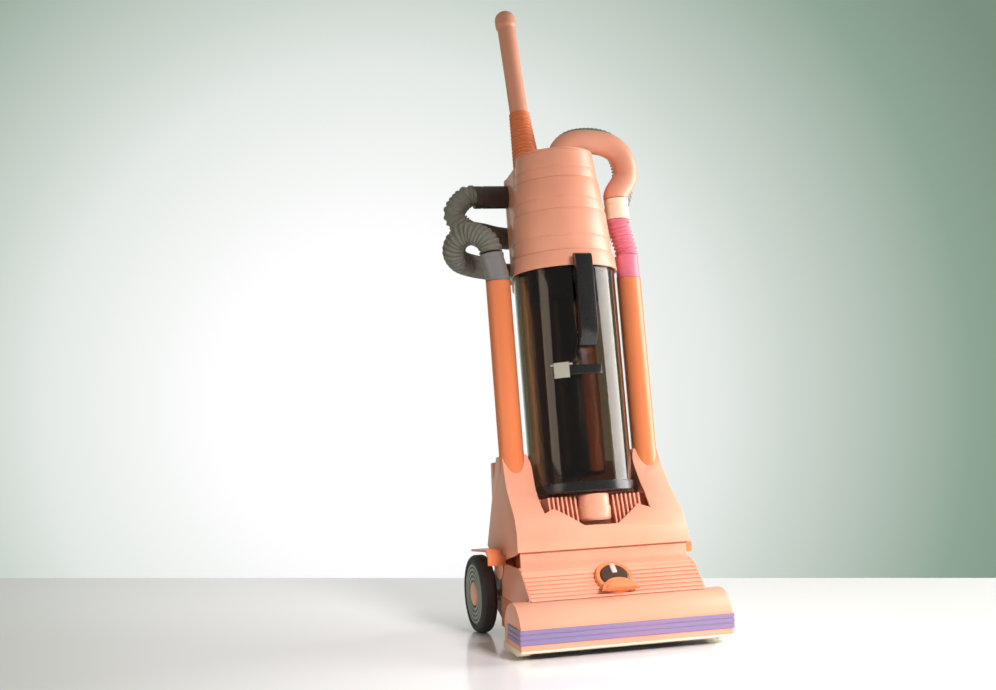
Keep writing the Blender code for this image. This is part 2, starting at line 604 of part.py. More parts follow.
def make_fin_grille():
    """The upright fins under the bin, either side of the catch."""
    fin, pitch = 0.0028, 0.0068
    starts = [0.0285 + pitch * k for k in range(7)]
    edges = []
    root, tip = 0.0, 0.052
    for start in starts:
        edges += [(start, root), (start, tip), (start + fin, tip), (start + fin, root)]
    outline = [(-x, y) for x, y in reversed(edges)] + edges
    end = 0.098
    outline = [(-end, -0.004), (-end, root)] + outline + [(end, root), (end, -0.004)]
    plan = [(x, -0.036 - y) for x, y in outline]
    grille = prism("fin_grille", plan, 0.040, 0.0902, "peach", UPRIGHT, axis="Z")
    slope = [(-0.20, 0.02), (-0.0780, 0.02), (-0.0780, 0.045), (-0.0680, 0.0920), (-0.0680, 0.12),
             (-0.20, 0.12)]
    barrel = box("barrel_room", (-0.1, -0.056, 0.02), (0.1, 0.0, 0.0545), None, UPRIGHT)
    gap = bin_cutter("catch_room", 0.0262, 0.0, 0.12)
    gap.location = (0, CATCH_Y, 0)
    cut(grille, prism("fin_slope", slope, -0.2, 0.2, None, UPRIGHT), gap, barrel)


def make_bin_catch():
    """The two-tier collar under the bin that turns to free it."""
    profile = [(0, 0.0920), (0.0225, 0.0920), (0.0232, 0.0900), (0.0232, 0.0745), (CATCH_RADIUS, 0.0730),
               (CATCH_RADIUS, 0.0560), (0.0220, 0.0520), (0, 0.0520)]
    turned("bin_catch", profile, "peach", UPRIGHT, place=(0, CATCH_Y, 0), steps=28)


def make_bin():
    """The clear bin with its base, handle, strap and inner cyclone."""
    axis = (0, BIN_Y, 0)
    floor = BIN_BASE_Z + 0.004
    ring("bin_body", BIN_RADIUS, BIN_RADIUS - 0.0025, floor + GAP, BIN_TOP_Z, "clear", UPRIGHT, place=axis,
         steps=28)
    lip = BIN_RADIUS + GAP
    base = [(0, floor), (lip, floor), (lip, BIN_BASE_Z + BIN_RING_HEIGHT)]
    outer = lip + 0.0018
    profile = [(outer, BIN_BASE_Z + BIN_RING_HEIGHT), (outer, BIN_BASE_Z + 0.002), (outer - 0.002, BIN_BASE_Z),
               (0, BIN_BASE_Z)]
    turned("bin_base", base + profile, "black", UPRIGHT, place=axis, steps=28)
    cone_low, cone_high = BIN_BASE_Z + 0.034, BIN_TOP_Z - 0.035
    ring("inner_cyclone", 0.040, 0.038, cone_low, cone_high, "orange", UPRIGHT, place=axis, steps=28)
    profile = [(0.056, BIN_TOP_Z - 0.004), (0.056, BIN_TOP_Z - 0.060), (0.0405, BIN_TOP_Z - 0.060),
               (0.0405, BIN_TOP_Z - 0.0347), (0.054, BIN_TOP_Z - 0.0347), (0.054, BIN_TOP_Z - 0.004)]
    turned("cyclone_shroud", profile, "black", UPRIGHT, place=axis, steps=28)
    front = BIN_Y - BIN_RADIUS
    top = BIN_TOP_Z + 0.002
    grip = [(front - 0.009, top - 0.001), (front - 0.014, top), (front - 0.021, top - 0.003),
            (front - 0.0235, top - 0.010), (front - 0.0235, top - 0.112), (front - 0.0200, top - 0.126),
            (front - 0.0085, top - 0.140), (front - GAP, top - 0.143), (front - GAP, top - 0.124),
            (front - 0.0085, top - 0.118), (front - 0.0100, top - 0.110), (front - 0.0100, top - 0.050),
            (front - 0.0085, top - 0.046), (front - GAP, top - 0.044), (front - GAP, top - 0.022),
            (front - 0.0085, top - 0.020)]
    handle = prism("bin_handle", grip, -0.0132, 0.0132, "black", UPRIGHT)
    cut(handle, bin_cutter("handle_saddle", BIN_RADIUS + GAP, 0.0, 0.60))
    strap_low = BIN_BASE_Z + 0.1755
    outside, inside = BIN_RADIUS + 0.0017, BIN_RADIUS + GAP
    angles = [math.radians(angle) for angle in range(-130, -73, 7)]
    outer_arc = [(math.cos(a) * outside, BIN_Y + math.sin(a) * outside) for a in angles]
    inner_arc = [(math.cos(a) * inside, BIN_Y + math.sin(a) * inside) for a in reversed(angles)]
    prism("bin_strap", outer_arc + inner_arc, strap_low, strap_low + 0.014, "black", UPRIGHT, axis="Z")
    turn = math.radians(-29)
    middle = strap_low + 0.0075
    radius = BIN_RADIUS + 0.0017 + GAP
    block = box("bin_buckle", (-0.0115, -radius - 0.0035, middle - 0.0115),
                (0.0115, -radius + 0.004, middle + 0.0115), "silver", UPRIGHT, place=axis, turn=(0, 0, turn))
    bar = ring("buckle_bar", 0.0014, 0, -0.0165, 0.0165, None, UPRIGHT, steps=12)
    bar.rotation_euler = (0, math.radians(90), turn)
    bar.location = (math.sin(turn) * (radius + 0.001), BIN_Y - math.cos(turn) * (radius + 0.0012),
                    middle + 0.0085)
    cut(block, bin_cutter("buckle_saddle", radius + GAP, 0, 0.6))
    cut(block, bar, operation="UNION")


def housing_profile(extra):
    """Outer side of the cyclone housing, top to bottom, grown by extra."""
    points = []
    z = HOUSING_TOP
    for height, (low_radius, high_radius) in reversed(list(zip(BAND_HEIGHTS, BAND_RADII))):
        points += [(high_radius + extra, z), (low_radius + extra, z - height)]
        z -= height
    points += [(BIN_RADIUS + 0.0015 + extra, HOUSING_Z), (BIN_RADIUS + 0.0050 + extra, FLANGE_Z)]
    return points


def make_housing():
    """The stepped cyclone housing, its lid, the seal and the lobe that holds the wand."""
    axis = (0, BIN_Y, 0)
    lid = 0.0035
    outer = housing_profile(0)
    outer[0] = (outer[0][0], HOUSING_TOP - lid)
    seal_z = BIN_TOP_Z + 0.0003
    seat = BIN_RADIUS + 0.0008
    inner = [(seat, FLANGE_Z), (seat, seal_z + 0.0035), (0.066, seal_z + 0.0035), (0.0600, HOUSING_Z + 0.08),
             (0.0560, HOUSING_TOP - lid)]
    turned("cyclone_housing", outer + inner, "peach", UPRIGHT, place=axis, steps=36)
    ring("bin_seal", BIN_RADIUS, 0.0682, seal_z, seal_z + 0.0030, "rubber", UPRIGHT, place=axis, steps=28)
    top_radius = BAND_RADII[-1][1]
    profile = [(0, HOUSING_TOP), (top_radius - 0.001, HOUSING_TOP), (top_radius, HOUSING_TOP - 0.001),
               (top_radius, HOUSING_TOP - lid + GAP), (0, HOUSING_TOP - lid + GAP)]
    turned("housing_lid", profile, "peach", UPRIGHT, place=axis, steps=36)
    rear = arc((0, LOBE_Y), LOBE_RADIUS, -10, 190, 17)
    wide = LOBE_RADIUS + 0.004
    plan = rear + [(-wide, 0.060), (-wide + 0.004, 0.010), (wide - 0.004, 0.010), (wide, 0.060)]
    lobe = prism("wand_socket", plan, FLANGE_Z + 0.004, HOUSING_TOP - GAP, "peach", UPRIGHT, axis="Z")
    keep_out = turned("housing_keep_out", [(0, HOUSING_TOP + 0.01)] + [
        (r, z + (0.01 if k == 0 else 0)) for k, (r, z) in enumerate(housing_profile(GAP))
    ] + [(BIN_RADIUS + 0.006, FLANGE_Z - 0.01), (0, FLANGE_Z - 0.01)], None, UPRIGHT, place=axis, steps=36)
    bore = ring("wand_bore", SLEEVE_RADIUS + 0.0008, 0, -WAND_SPIGOT - 0.006, 0.08, None, WAND, steps=28)
    port = ring("hose_port_bore", HOSE_CUFF_RADIUS + GAP, 0, 0, 0.10, None, UPRIGHT,
                turn=(0, math.radians(-90), 0), place=(-LOBE_RADIUS * 0.64, PORT_Y, PORT_Z), steps=32)
    cut(lobe, keep_out, bore, port)


def make_spine():
    """The back panel that joins the rear cover to the wand socket."""
    low, high = REAR_COVER_TOP + GAP, FLANGE_Z + 0.004 - GAP
    box("back_spine", (-0.036, BIN_REAR + 0.0055, low), (0.036, BIN_REAR + 0.0165, high), "orange", UPRIGHT)


def make_tubes():
    """The two side tubes, and the swan neck, collar and bellows above the right one."""
    top = FLANGE_Z - 0.0075
    for side, sign in SIDES:
        ring("side_tube_" + side, TUBE_RADIUS, TUBE_RADIUS - 0.002, TUBE_SOCKET_Z, top, "orange", UPRIGHT,
             place=(sign * TUBE_X, BIN_Y, 0), steps=28)
    right = TUBE_X
    lead = 0.008
    cuff_top = top + 0.0360
    tube("bellows_cuff", [(right, BIN_Y, top + GAP), (right, BIN_Y, cuff_top)], TUBE_RADIUS - 0.0005, "pink",
         UPRIGHT)
    low = Vector((right, BIN_Y, cuff_top + GAP))
    high = Vector((right - 0.0095, BIN_Y, top + 0.0945))
    rise = Vector((0, 0, lead))
    tube("duct_bellows", [low, low + rise, low.lerp(high, 0.5), high - rise, high], TUBE_RADIUS - 0.0010,
         "pink", UPRIGHT)
    foot = high + Vector((0, 0, GAP))
    collar = [foot, foot + Vector((0, 0, 0.033))]
    tube("neck_collar", collar, TUBE_RADIUS + 0.0002, "cream", UPRIGHT)
    x, y, z = collar[-1]
    lid = HOUSING_TOP + GAP
    knots = [(x, y, z + 0.0010), (x, y, z + 0.0035), (x, y, z + 0.0060), (x + 0.0030, y, z + 0.012), (x + 0.0110, y, z + 0.023),
             (x + 0.0190, y, z + 0.036), (x + 0.0200, y, z + 0.053), (x + 0.0130, y, z + 0.074),
             (x - 0.0050, y, z + 0.0885), (x - 0.0300, y, z + 0.0945), (x - 0.0560, y, z + 0.0945),
             (x - 0.0760, y, z + 0.0880), (x - 0.0850, y, z + 0.0780), (x - 0.0850, y, lid + 0.003),
             (x - 0.0850, y, lid)]
    tube("swan_neck", smooth_path(knots, 2), NECK_RADIUS, "peach", UPRIGHT)


def make_wand():
    """The handle wand that lifts out of the lobe: a tube with a domed end, and its ribbed sleeve."""
    tip = WAND_LENGTH
    narrow = WAND_RADIUS - 0.0004
    dome = [(radius, tip - drop) for radius, drop in DOME]
    profile = dome + [(narrow, SLEEVE_LENGTH + 0.012), (narrow, -WAND_SPIGOT), (0, -WAND_SPIGOT)]
    turned("wand_tube", profile, "orange", WAND, steps=32)
    inner = WAND_RADIUS
    sleeve = [(inner + 0.0014, SLEEVE_LENGTH), (SLEEVE_RADIUS, 0.014), (SLEEVE_RADIUS, -0.030),
              (inner, -0.030), (inner, SLEEVE_LENGTH)]
    turned("wand_sleeve", sleeve, "orange", WAND, steps=36)


# The hose's route through (x, y, z) of the upright frame, from the left tube's cuff to the wand socket.
HOSE_ROUTE_TOP = 0.626         # the housing's top that the route was drawn for
HOSE_ROUTE = [
    (-0.1148, -0.0150, 0.4748), (-0.1160, -0.0145, 0.4855), (-0.1230, -0.0100, 0.4985),
    (-0.1390, 0.0020, 0.5090), (-0.1560, 0.0170, 0.5040), (-0.1600, 0.0350, 0.4890),
    (-0.1460, 0.0560, 0.4770), (-0.1160, 0.0800, 0.4735), (-0.0830, 0.1080, 0.4745),
    (-0.0650, 0.1470, 0.4770), (-0.0370, 0.1800, 0.4800), (0.0000, 0.1920, 0.4830), (0.0400, 0.1880, 0.4870),
    (0.0780, 0.1720, 0.4980), (0.1090, 0.1300, 0.5210), (0.1290, 0.0830, 0.5560),
    (0.1370, 0.0500, 0.6010), (0.1320, 0.0440, 0.6420), (0.1140, 0.0560, 0.6720),
    (0.0880, 0.0840, 0.6860), (0.0680, 0.1160, 0.6870), (0.0600, 0.1480, 0.6700),
    (0.0590, 0.1720, 0.6350), (0.0520, 0.1910, 0.5920), (0.0280, 0.2020, 0.5600),
    (-0.0060, 0.1960, 0.5450), (-0.0430, 0.1740, 0.5410), (-0.0800, 0.1420, 0.5400),
    (-0.1130, 0.1250, 0.5440), (-0.1320, 0.1210, 0.5700), (-0.1130, 0.1210, 0.5955),
    (-0.0966, 0.1210, 0.5993),
]


def make_hose():
    """The stretch hose and its two cuffs."""
    top = FLANGE_Z - 0.0075
    foot = (-TUBE_X, BIN_Y, top + GAP)
    cuff = [foot, (-TUBE_X, BIN_Y, top + 0.008), (-TUBE_X - 0.0060, BIN_Y, top + 0.0340),
            (-TUBE_X - 0.0072, BIN_Y, top + 0.0440)]
    tube("hose_cuff_lower", cuff, TUBE_RADIUS - 0.0006, "grey_cuff", UPRIGHT)
    lift = Vector((0, 0, HOUSING_TOP - HOSE_ROUTE_TOP))
    route = [Vector(point) + lift for point in HOSE_ROUTE]
    tube("stretch_hose", smooth_path(route, 2), HOSE_RADIUS, "grey_hose", UPRIGHT, resolution=2)
    ring("hose_cuff_upper", HOSE_CUFF_RADIUS, 0.0150, 0.0, 0.0660, "grey_cuff", UPRIGHT,
         turn=(0, math.radians(-90), 0), place=(-0.0290, PORT_Y, PORT_Z), steps=32)


def make_upright():
    """Every piece that leans back with the body."""
    make_motor_cover()
    make_motor()
    make_rear_cover()
    make_fin_grille()
    make_bin_catch()
    make_bin()
    make_housing()
    make_spine()
    make_tubes()
    make_wand()
    make_hose()


make_upright()
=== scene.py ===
"""Finishes for an upright vacuum cleaner: moulded plastics, clear bin, stretch hose and wheels."""
import json
import math

import bmesh
import bpy
import numpy as np
from mathutils import Matrix, Vector

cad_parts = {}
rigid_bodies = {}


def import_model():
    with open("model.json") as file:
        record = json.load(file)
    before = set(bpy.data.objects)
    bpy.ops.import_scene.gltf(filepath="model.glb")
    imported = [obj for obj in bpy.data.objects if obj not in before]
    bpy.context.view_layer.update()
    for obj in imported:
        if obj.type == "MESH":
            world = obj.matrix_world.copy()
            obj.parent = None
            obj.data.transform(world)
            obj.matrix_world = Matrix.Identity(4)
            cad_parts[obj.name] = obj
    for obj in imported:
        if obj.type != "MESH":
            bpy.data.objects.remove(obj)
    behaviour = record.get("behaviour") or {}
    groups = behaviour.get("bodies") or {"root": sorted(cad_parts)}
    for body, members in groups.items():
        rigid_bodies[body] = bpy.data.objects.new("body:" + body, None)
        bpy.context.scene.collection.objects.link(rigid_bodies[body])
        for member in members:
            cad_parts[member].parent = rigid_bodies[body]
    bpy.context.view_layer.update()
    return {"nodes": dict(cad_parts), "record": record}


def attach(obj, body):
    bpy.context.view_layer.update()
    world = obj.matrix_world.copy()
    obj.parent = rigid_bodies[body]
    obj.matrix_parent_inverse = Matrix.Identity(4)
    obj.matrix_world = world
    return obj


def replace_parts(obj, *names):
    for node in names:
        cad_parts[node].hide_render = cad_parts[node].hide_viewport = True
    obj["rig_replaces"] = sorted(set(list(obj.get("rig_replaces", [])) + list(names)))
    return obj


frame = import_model()

LEAN = math.radians(10.0)          # backward lean of the body
WAND_TILT = math.radians(11.5)     # the wand leans this much more
PIVOT = np.array((0.0, -0.0840037, 0.111))
HEAD_SHIFT = -0.1140037            # head pieces sit this far forward
BIN_Y = -0.015
HOUSING_TOP = 0.626
FLANGE_Z = 0.436                   # foot of the housing's flared skirt
HOUSING_Z = 0.4615                 # foot of the housing's lowest band
LOBE_Y = 0.121                     # middle of the wand's socket behind the housing
TUBE_X = 0.107                     # the side tubes stand this far from the middle
TUBE_TOP = FLANGE_Z - 0.0075
CAMERA_PLACE = (-0.7894, -2.3887, 0.4796)
DUST_COLOUR = (0.62, 0.55, 0.46, 1)


# Camera ---------------------------------------------------------------------

def make_camera():
    """A long lens a little above the floor, to the left of the front."""
    turn, dip, roll = -0.2799, 0.0167, 0.0289
    forward = np.array((-math.sin(turn) * math.cos(dip), math.cos(turn) * math.cos(dip), -math.sin(dip)))
    level = np.array((math.cos(turn), math.sin(turn), 0.0))
    above = np.cross(level, forward)
    right = math.cos(roll) * level - math.sin(roll) * above
    up = math.sin(roll) * level + math.cos(roll) * above
    lens = bpy.data.cameras.new("camera")
    lens.lens = 57.83
    lens.clip_end = 60
    camera = bpy.data.objects.new("camera", lens)
    bpy.context.scene.collection.objects.link(camera)
    place = np.eye(4)
    place[:3, 0], place[:3, 1], place[:3, 2] = right, up, -forward
    place[:3, 3] = CAMERA_PLACE
    camera.matrix_world = Matrix(place.tolist())
    bpy.context.scene.camera = camera


# Frames ---------------------------------------------------------------------

def tilted(points, angle, origin):
    """Points turned backward about X by an angle, then moved to an origin."""
    points = np.asarray(points, float)
    c, s = math.cos(angle), math.sin(angle)
    out = np.empty_like(points)
    out[..., 0] = points[..., 0]
    out[..., 1] = points[..., 1] * c + points[..., 2] * s
    out[..., 2] = points[..., 2] * c - points[..., 1] * s
    return out + np.asarray(origin, float)


def upright(points):
    """From the leaning body's frame to the shared one."""
    return tilted(points, LEAN, PIVOT)


def wand(points):
    """From the wand's frame to the shared one."""
    return upright(tilted(points, WAND_TILT, (0, LOBE_Y, HOUSING_TOP)))


def head(points):
    """From the cleaner head's frame to the shared one."""
    return np.asarray(points, float) + (0, HEAD_SHIFT, 0)


# Surfaces -------------------------------------------------------------------

def ring_quads(rows, sides):
    """Quads between neighbouring rings of a grid whose points run round each row."""
    row, side = np.meshgrid(np.arange(rows - 1), np.arange(sides), indexing="ij")
    after = (side + 1) % sides
    return np.stack([row * sides + side, row * sides + after, (row + 1) * sides + after,
                     (row + 1) * sides + side], -1).reshape(-1, 4).tolist()


def surface(name, grid, finish, body, stands_for=(), capped=True, sharp=32):
    """A closed sheet over a grid of sections: rings run round the second index, and each end is
    closed by a fan to the section's middle."""
    rows, sides = grid.shape[:2]
    points = grid.reshape(-1, 3)
    faces = ring_quads(rows, sides)
    if capped:
        ends = grid[[0, -1]].mean(axis=1)
        points = np.vstack([points, ends])
        k = np.arange(sides)
        first, last = rows * sides, rows * sides + 1
        low = np.stack([np.full(sides, first), (k + 1) % sides, k], -1)
        top = (rows - 1) * sides
        high = np.stack([np.full(sides, last), top + k, top + (k + 1) % sides], -1)
        faces += low.tolist() + high.tolist()
    mesh = bpy.data.meshes.new(name)
    mesh.from_pydata(points.tolist(), [], faces)
    return finish_piece(name, mesh, finish, body, stands_for, sharp)


def finish_piece(name, mesh, finish, body, stands_for, sharp):
    """Points the faces outwards, smooths them up to an angle and gives the piece its finish."""
    work = bmesh.new()
    work.from_mesh(mesh)
    bmesh.ops.remove_doubles(work, verts=work.verts, dist=1e-6)
    bmesh.ops.dissolve_degenerate(work, edges=work.edges, dist=1e-7)
    bmesh.ops.recalc_face_normals(work, faces=work.faces)
    work.to_mesh(mesh)
    work.free()
    mesh.shade_smooth()
    mesh.set_sharp_from_angle(angle=math.radians(sharp))
    piece = bpy.data.objects.new(name, mesh)
    bpy.context.scene.collection.objects.link(piece)
    mesh.materials.append(FINISHES[finish])
    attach(piece, body)
    if stands_for:
        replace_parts(piece, *([stands_for] if isinstance(stands_for, str) else stands_for))
    return piece


def rounded(profile, radius, steps=3):
    """Each corner between two straight runs becomes a short quadratic curve of about this radius."""
    profile = [np.array(p, float) for p in profile]
    out = [profile[0]]
    for before, corner, after in zip(profile, profile[1:], profile[2:]):
        back, on = before - corner, after - corner
        reach = min(radius, np.linalg.norm(back) * 0.45, np.linalg.norm(on) * 0.45)
        start = corner + back / max(np.linalg.norm(back), 1e-9) * reach
        end = corner + on / max(np.linalg.norm(on), 1e-9) * reach
        for t in np.linspace(0, 1, steps + 1):
            out.append((1 - t) ** 2 * start + 2 * t * (1 - t) * corner + t ** 2 * end)
    return np.array(out + [profile[-1]])


def revolved(profile, sides=72, centre=(0, 0)):
    """A profile of (radius, height) carried round Z: x = r cos a, y = r sin a."""
    profile = np.asarray(profile, float)
    angle = np.linspace(0, 2 * math.pi, sides, endpoint=False)
    grid = np.empty((len(profile), sides, 3))
    grid[..., 0] = profile[:, :1] * np.cos(angle) + centre[0]
    grid[..., 1] = profile[:, :1] * np.sin(angle) + centre[1]
    grid[..., 2] = profile[:, 1:2]
    return grid


def curve_through(points, spacing):
    """Evenly spaced points of a Catmull-Rom curve through the given ones, and the length run at each."""
    knots = np.asarray(points, float)
    knots = np.vstack([2 * knots[0] - knots[1], knots, 2 * knots[-1] - knots[-2]])
    t = np.linspace(0, 1, 24, endpoint=False)[None, :, None]
    a, b, c, d = (knots[k:len(knots) - 3 + k][:, None, :] for k in range(4))
    fine = 0.5 * (2 * b + (c - a) * t + (2 * a - 5 * b + 4 * c - d) * t ** 2
                  + (3 * b - a - 3 * c + d) * t ** 3)
    fine = np.vstack([fine.reshape(-1, 3), knots[-2]])
    run = np.concatenate([[0], np.cumsum(np.linalg.norm(np.diff(fine, axis=0), axis=1))])
    count = max(8, int(round(run[-1] / spacing)) + 1)
    even = np.linspace(0, run[-1], count)
    return np.stack([np.interp(even, run, fine[:, k]) for k in range(3)], -1), even


def carried(path, radii, sides=32):
    """Circles of the given radii carried along a path, each frame turned from the last one's without
    twist."""
    path = np.asarray(path, float)
    along = np.gradient(path, axis=0)
    along /= np.linalg.norm(along, axis=1)[:, None]
    start = np.cross(along[0], (0.3, 0.2, 0.9))
    frames = [start / np.linalg.norm(start)]
    for direction in along[1:]:
        flat = frames[-1] - direction * np.dot(frames[-1], direction)
        frames.append(flat / np.linalg.norm(flat))
    out = np.array(frames)
    other = np.cross(along, out)
    angle = np.linspace(0, 2 * math.pi, sides, endpoint=False)
    radius = np.asarray(radii, float).reshape(-1, 1) * np.ones((len(path), sides))
    across = (np.cos(angle)[None, :, None] * out[:, None, :]
              + np.sin(angle)[None, :, None] * other[:, None, :])
    return path[:, None, :] + radius[..., None] * across


def dressed(node, finish, edge):
    """A copy of a CAD solid with its flats joined and its edges rounded, in its finish."""
    mesh = frame["nodes"][node].data.copy()
    work = bmesh.new()
    work.from_mesh(mesh)
    bmesh.ops.remove_doubles(work, verts=work.verts, dist=2e-6)
    bmesh.ops.dissolve_limit(work, angle_limit=math.radians(0.6), verts=work.verts, edges=work.edges)
    work.to_mesh(mesh)
    work.free()
    mesh.materials.clear()
    mesh.materials.append(FINISHES[finish])
    mesh.shade_smooth()
    piece = bpy.data.objects.new(node + "_shell", mesh)
    bpy.context.scene.collection.objects.link(piece)
    bevel = piece.modifiers.new("rounded_edges", "BEVEL")
    bevel.width = edge
    bevel.segments = 2
    bevel.limit_method = "ANGLE"
    bevel.angle_limit = math.radians(28)
    bevel.harden_normals = True
    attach(piece, BODY_OF[node])
    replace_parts(piece, node)


# Materials ------------------------------------------------------------------

def node_group(name, inputs, outputs):
    """An empty node group with named sockets: {name: (type, default)} in, {name: type} out."""
    tree = bpy.data.node_groups.new(name, "ShaderNodeTree")
    for label, (kind, value) in inputs.items():
        socket = tree.interface.new_socket(name=label, in_out="INPUT", socket_type=kind)
        socket.default_value = value
    for label, kind in outputs.items():
        tree.interface.new_socket(name=label, in_out="OUTPUT", socket_type=kind)
    return tree, tree.nodes.new("NodeGroupInput"), tree.nodes.new("NodeGroupOutput")


def add_node(tree, kind, links=(), **values):
    """A node with its properties set, and its inputs joined to sockets or given values."""
    node = tree.nodes.new(kind)
    for key, value in values.items():
        setattr(node, key, value)
    for label, source in dict(links).items():
        if isinstance(source, bpy.types.NodeSocket):
            tree.links.new(source, node.inputs[label])
        else:
            node.inputs[label].default_value = source
    return node


def new_finish(name):
    """A material with its node tree and its shader."""
    finish = bpy.data.materials.new(name)
    finish.use_nodes = True
    return finish, finish.node_tree, finish.node_tree.nodes["Principled BSDF"]


def moulded_grain_group():
    """Moulded plastic: slow colour drift, a fine stipple and slightly uneven gloss."""
    tree, given, result = node_group(
        "moulded_grain",
        {"Base": ("NodeSocketColor", (0.8, 0.4, 0.2, 1)), "Drift": ("NodeSocketColor", (0.7, 0.3, 0.15, 1)),
         "Gloss": ("NodeSocketFloat", 0.4), "Stipple": ("NodeSocketFloat", 0.1)},
        {"Colour": "NodeSocketColor", "Roughness": "NodeSocketFloat", "Normal": "NodeSocketVector"})
    place = add_node(tree, "ShaderNodeTexCoord")
    slow = add_node(tree, "ShaderNodeTexNoise", {"Vector": place.outputs["Object"], "Scale": 7.0,
                                                  "Detail": 3.0, "Roughness": 0.55})
    spread = add_node(tree, "ShaderNodeMapRange", {"Value": slow.outputs["Fac"], "From Min": 0.35,
                                                   "From Max": 0.70, "To Min": 0.0, "To Max": 0.55})
    blend = add_node(tree, "ShaderNodeMix", data_type="RGBA")
    tree.links.new(spread.outputs["Result"], blend.inputs["Factor"])
    tree.links.new(given.outputs["Base"], blend.inputs[6])
    tree.links.new(given.outputs["Drift"], blend.inputs[7])
    fine = add_node(tree, "ShaderNodeTexNoise", {"Vector": place.outputs["Object"], "Scale": 1400.0,
                                                  "Detail": 2.0})
    scuff = add_node(tree, "ShaderNodeTexNoise", {"Vector": place.outputs["Object"], "Scale": 60.0,
                                                   "Detail": 4.0, "Roughness": 0.7})
    uneven = add_node(tree, "ShaderNodeMath", {0: scuff.outputs["Fac"], 1: 0.16}, operation="MULTIPLY")
    rough = add_node(tree, "ShaderNodeMath", {0: given.outputs["Gloss"], 1: uneven.outputs[0]},
                     operation="ADD")
    bump = add_node(tree, "ShaderNodeBump", {"Strength": given.outputs["Stipple"], "Distance": 0.0004,
                                              "Height": fine.outputs["Fac"]})
    tree.links.new(blend.outputs[2], result.inputs["Colour"])
    tree.links.new(rough.outputs[0], result.inputs["Roughness"])
    tree.links.new(bump.outputs["Normal"], result.inputs["Normal"])
    return tree


def dust_group():
    """Dust that settles on faces that look up, broken up by noise: a mask from 0 to 1."""
    tree, given, result = node_group("settled_dust", {"Amount": ("NodeSocketFloat", 0.2)},
                                     {"Mask": "NodeSocketFloat"})
    place = add_node(tree, "ShaderNodeTexCoord")
    split = add_node(tree, "ShaderNodeSeparateXYZ", {0: place.outputs["Normal"]})
    noise = add_node(tree, "ShaderNodeTexNoise", {"Vector": place.outputs["Object"], "Scale": 180.0,
                                                   "Detail": 5.0, "Roughness": 0.7})
    facing = add_node(tree, "ShaderNodeMapRange", {"Value": split.outputs["Z"], "From Min": 0.3})
    broken = add_node(tree, "ShaderNodeMath", {0: facing.outputs["Result"], 1: noise.outputs["Fac"]},
                      operation="MULTIPLY")
    scaled = add_node(tree, "ShaderNodeMath", {0: broken.outputs[0], 1: given.outputs["Amount"]},
                      operation="MULTIPLY")
    tree.links.new(scaled.outputs[0], result.inputs["Mask"])
    return tree


def plastic(name, base, drift, gloss, stipple=0.12, dust=0.10, coat=0.0):
    """A moulded plastic or rubber from the shared grain and dust groups."""
    finish, tree, shader = new_finish(name)
    grain = add_node(tree, "ShaderNodeGroup", node_tree=GRAIN)
    grain.inputs["Base"].default_value = (*base, 1)
    grain.inputs["Drift"].default_value = (*drift, 1)
    grain.inputs["Gloss"].default_value = gloss - 0.08
    grain.inputs["Stipple"].default_value = stipple
    mask = add_node(tree, "ShaderNodeGroup", node_tree=DUST)
    mask.inputs["Amount"].default_value = dust
    blend = add_node(tree, "ShaderNodeMix", data_type="RGBA")
    tree.links.new(mask.outputs["Mask"], blend.inputs["Factor"])
    tree.links.new(grain.outputs["Colour"], blend.inputs[6])
    blend.inputs[7].default_value = DUST_COLOUR
    tree.links.new(blend.outputs[2], shader.inputs["Base Color"])
    tree.links.new(grain.outputs["Roughness"], shader.inputs["Roughness"])
    tree.links.new(grain.outputs["Normal"], shader.inputs["Normal"])
    shader.inputs["Coat Weight"].default_value = coat
    shader.inputs["Coat Roughness"].default_value = 0.12
    return finish


def smoked_clear():
    """The bin's smoked clear wall: thin tinted glass."""
    finish, tree, shader = new_finish("smoked_clear")
    shader.inputs["Base Color"].default_value = (0.30, 0.25, 0.18, 1)
    shader.inputs["Transmission Weight"].default_value = 1.0
    shader.inputs["IOR"].default_value = 1.45
    place = add_node(tree, "ShaderNodeTexCoord")
    haze = add_node(tree, "ShaderNodeTexNoise", {"Vector": place.outputs["Object"], "Scale": 25.0,
                                                  "Detail": 4.0})
    rough = add_node(tree, "ShaderNodeMapRange", {"Value": haze.outputs["Fac"], "To Min": 0.02,
                                                  "To Max": 0.09})
    tree.links.new(rough.outputs["Result"], shader.inputs["Roughness"])
    return finish


def ground_steel():
    """Ground steel with fine round marks."""
    finish, tree, shader = new_finish("ground_steel")
    shader.inputs["Base Color"].default_value = (0.55, 0.54, 0.52, 1)
    shader.inputs["Metallic"].default_value = 1.0
    place = add_node(tree, "ShaderNodeTexCoord")
    marks = add_node(tree, "ShaderNodeTexNoise", {"Vector": place.outputs["Object"], "Scale": 300.0})
    rough = add_node(tree, "ShaderNodeMapRange", {"Value": marks.outputs["Fac"], "To Min": 0.2,
                                                  "To Max": 0.5})
    tree.links.new(rough.outputs["Result"], shader.inputs["Roughness"])
    return finish


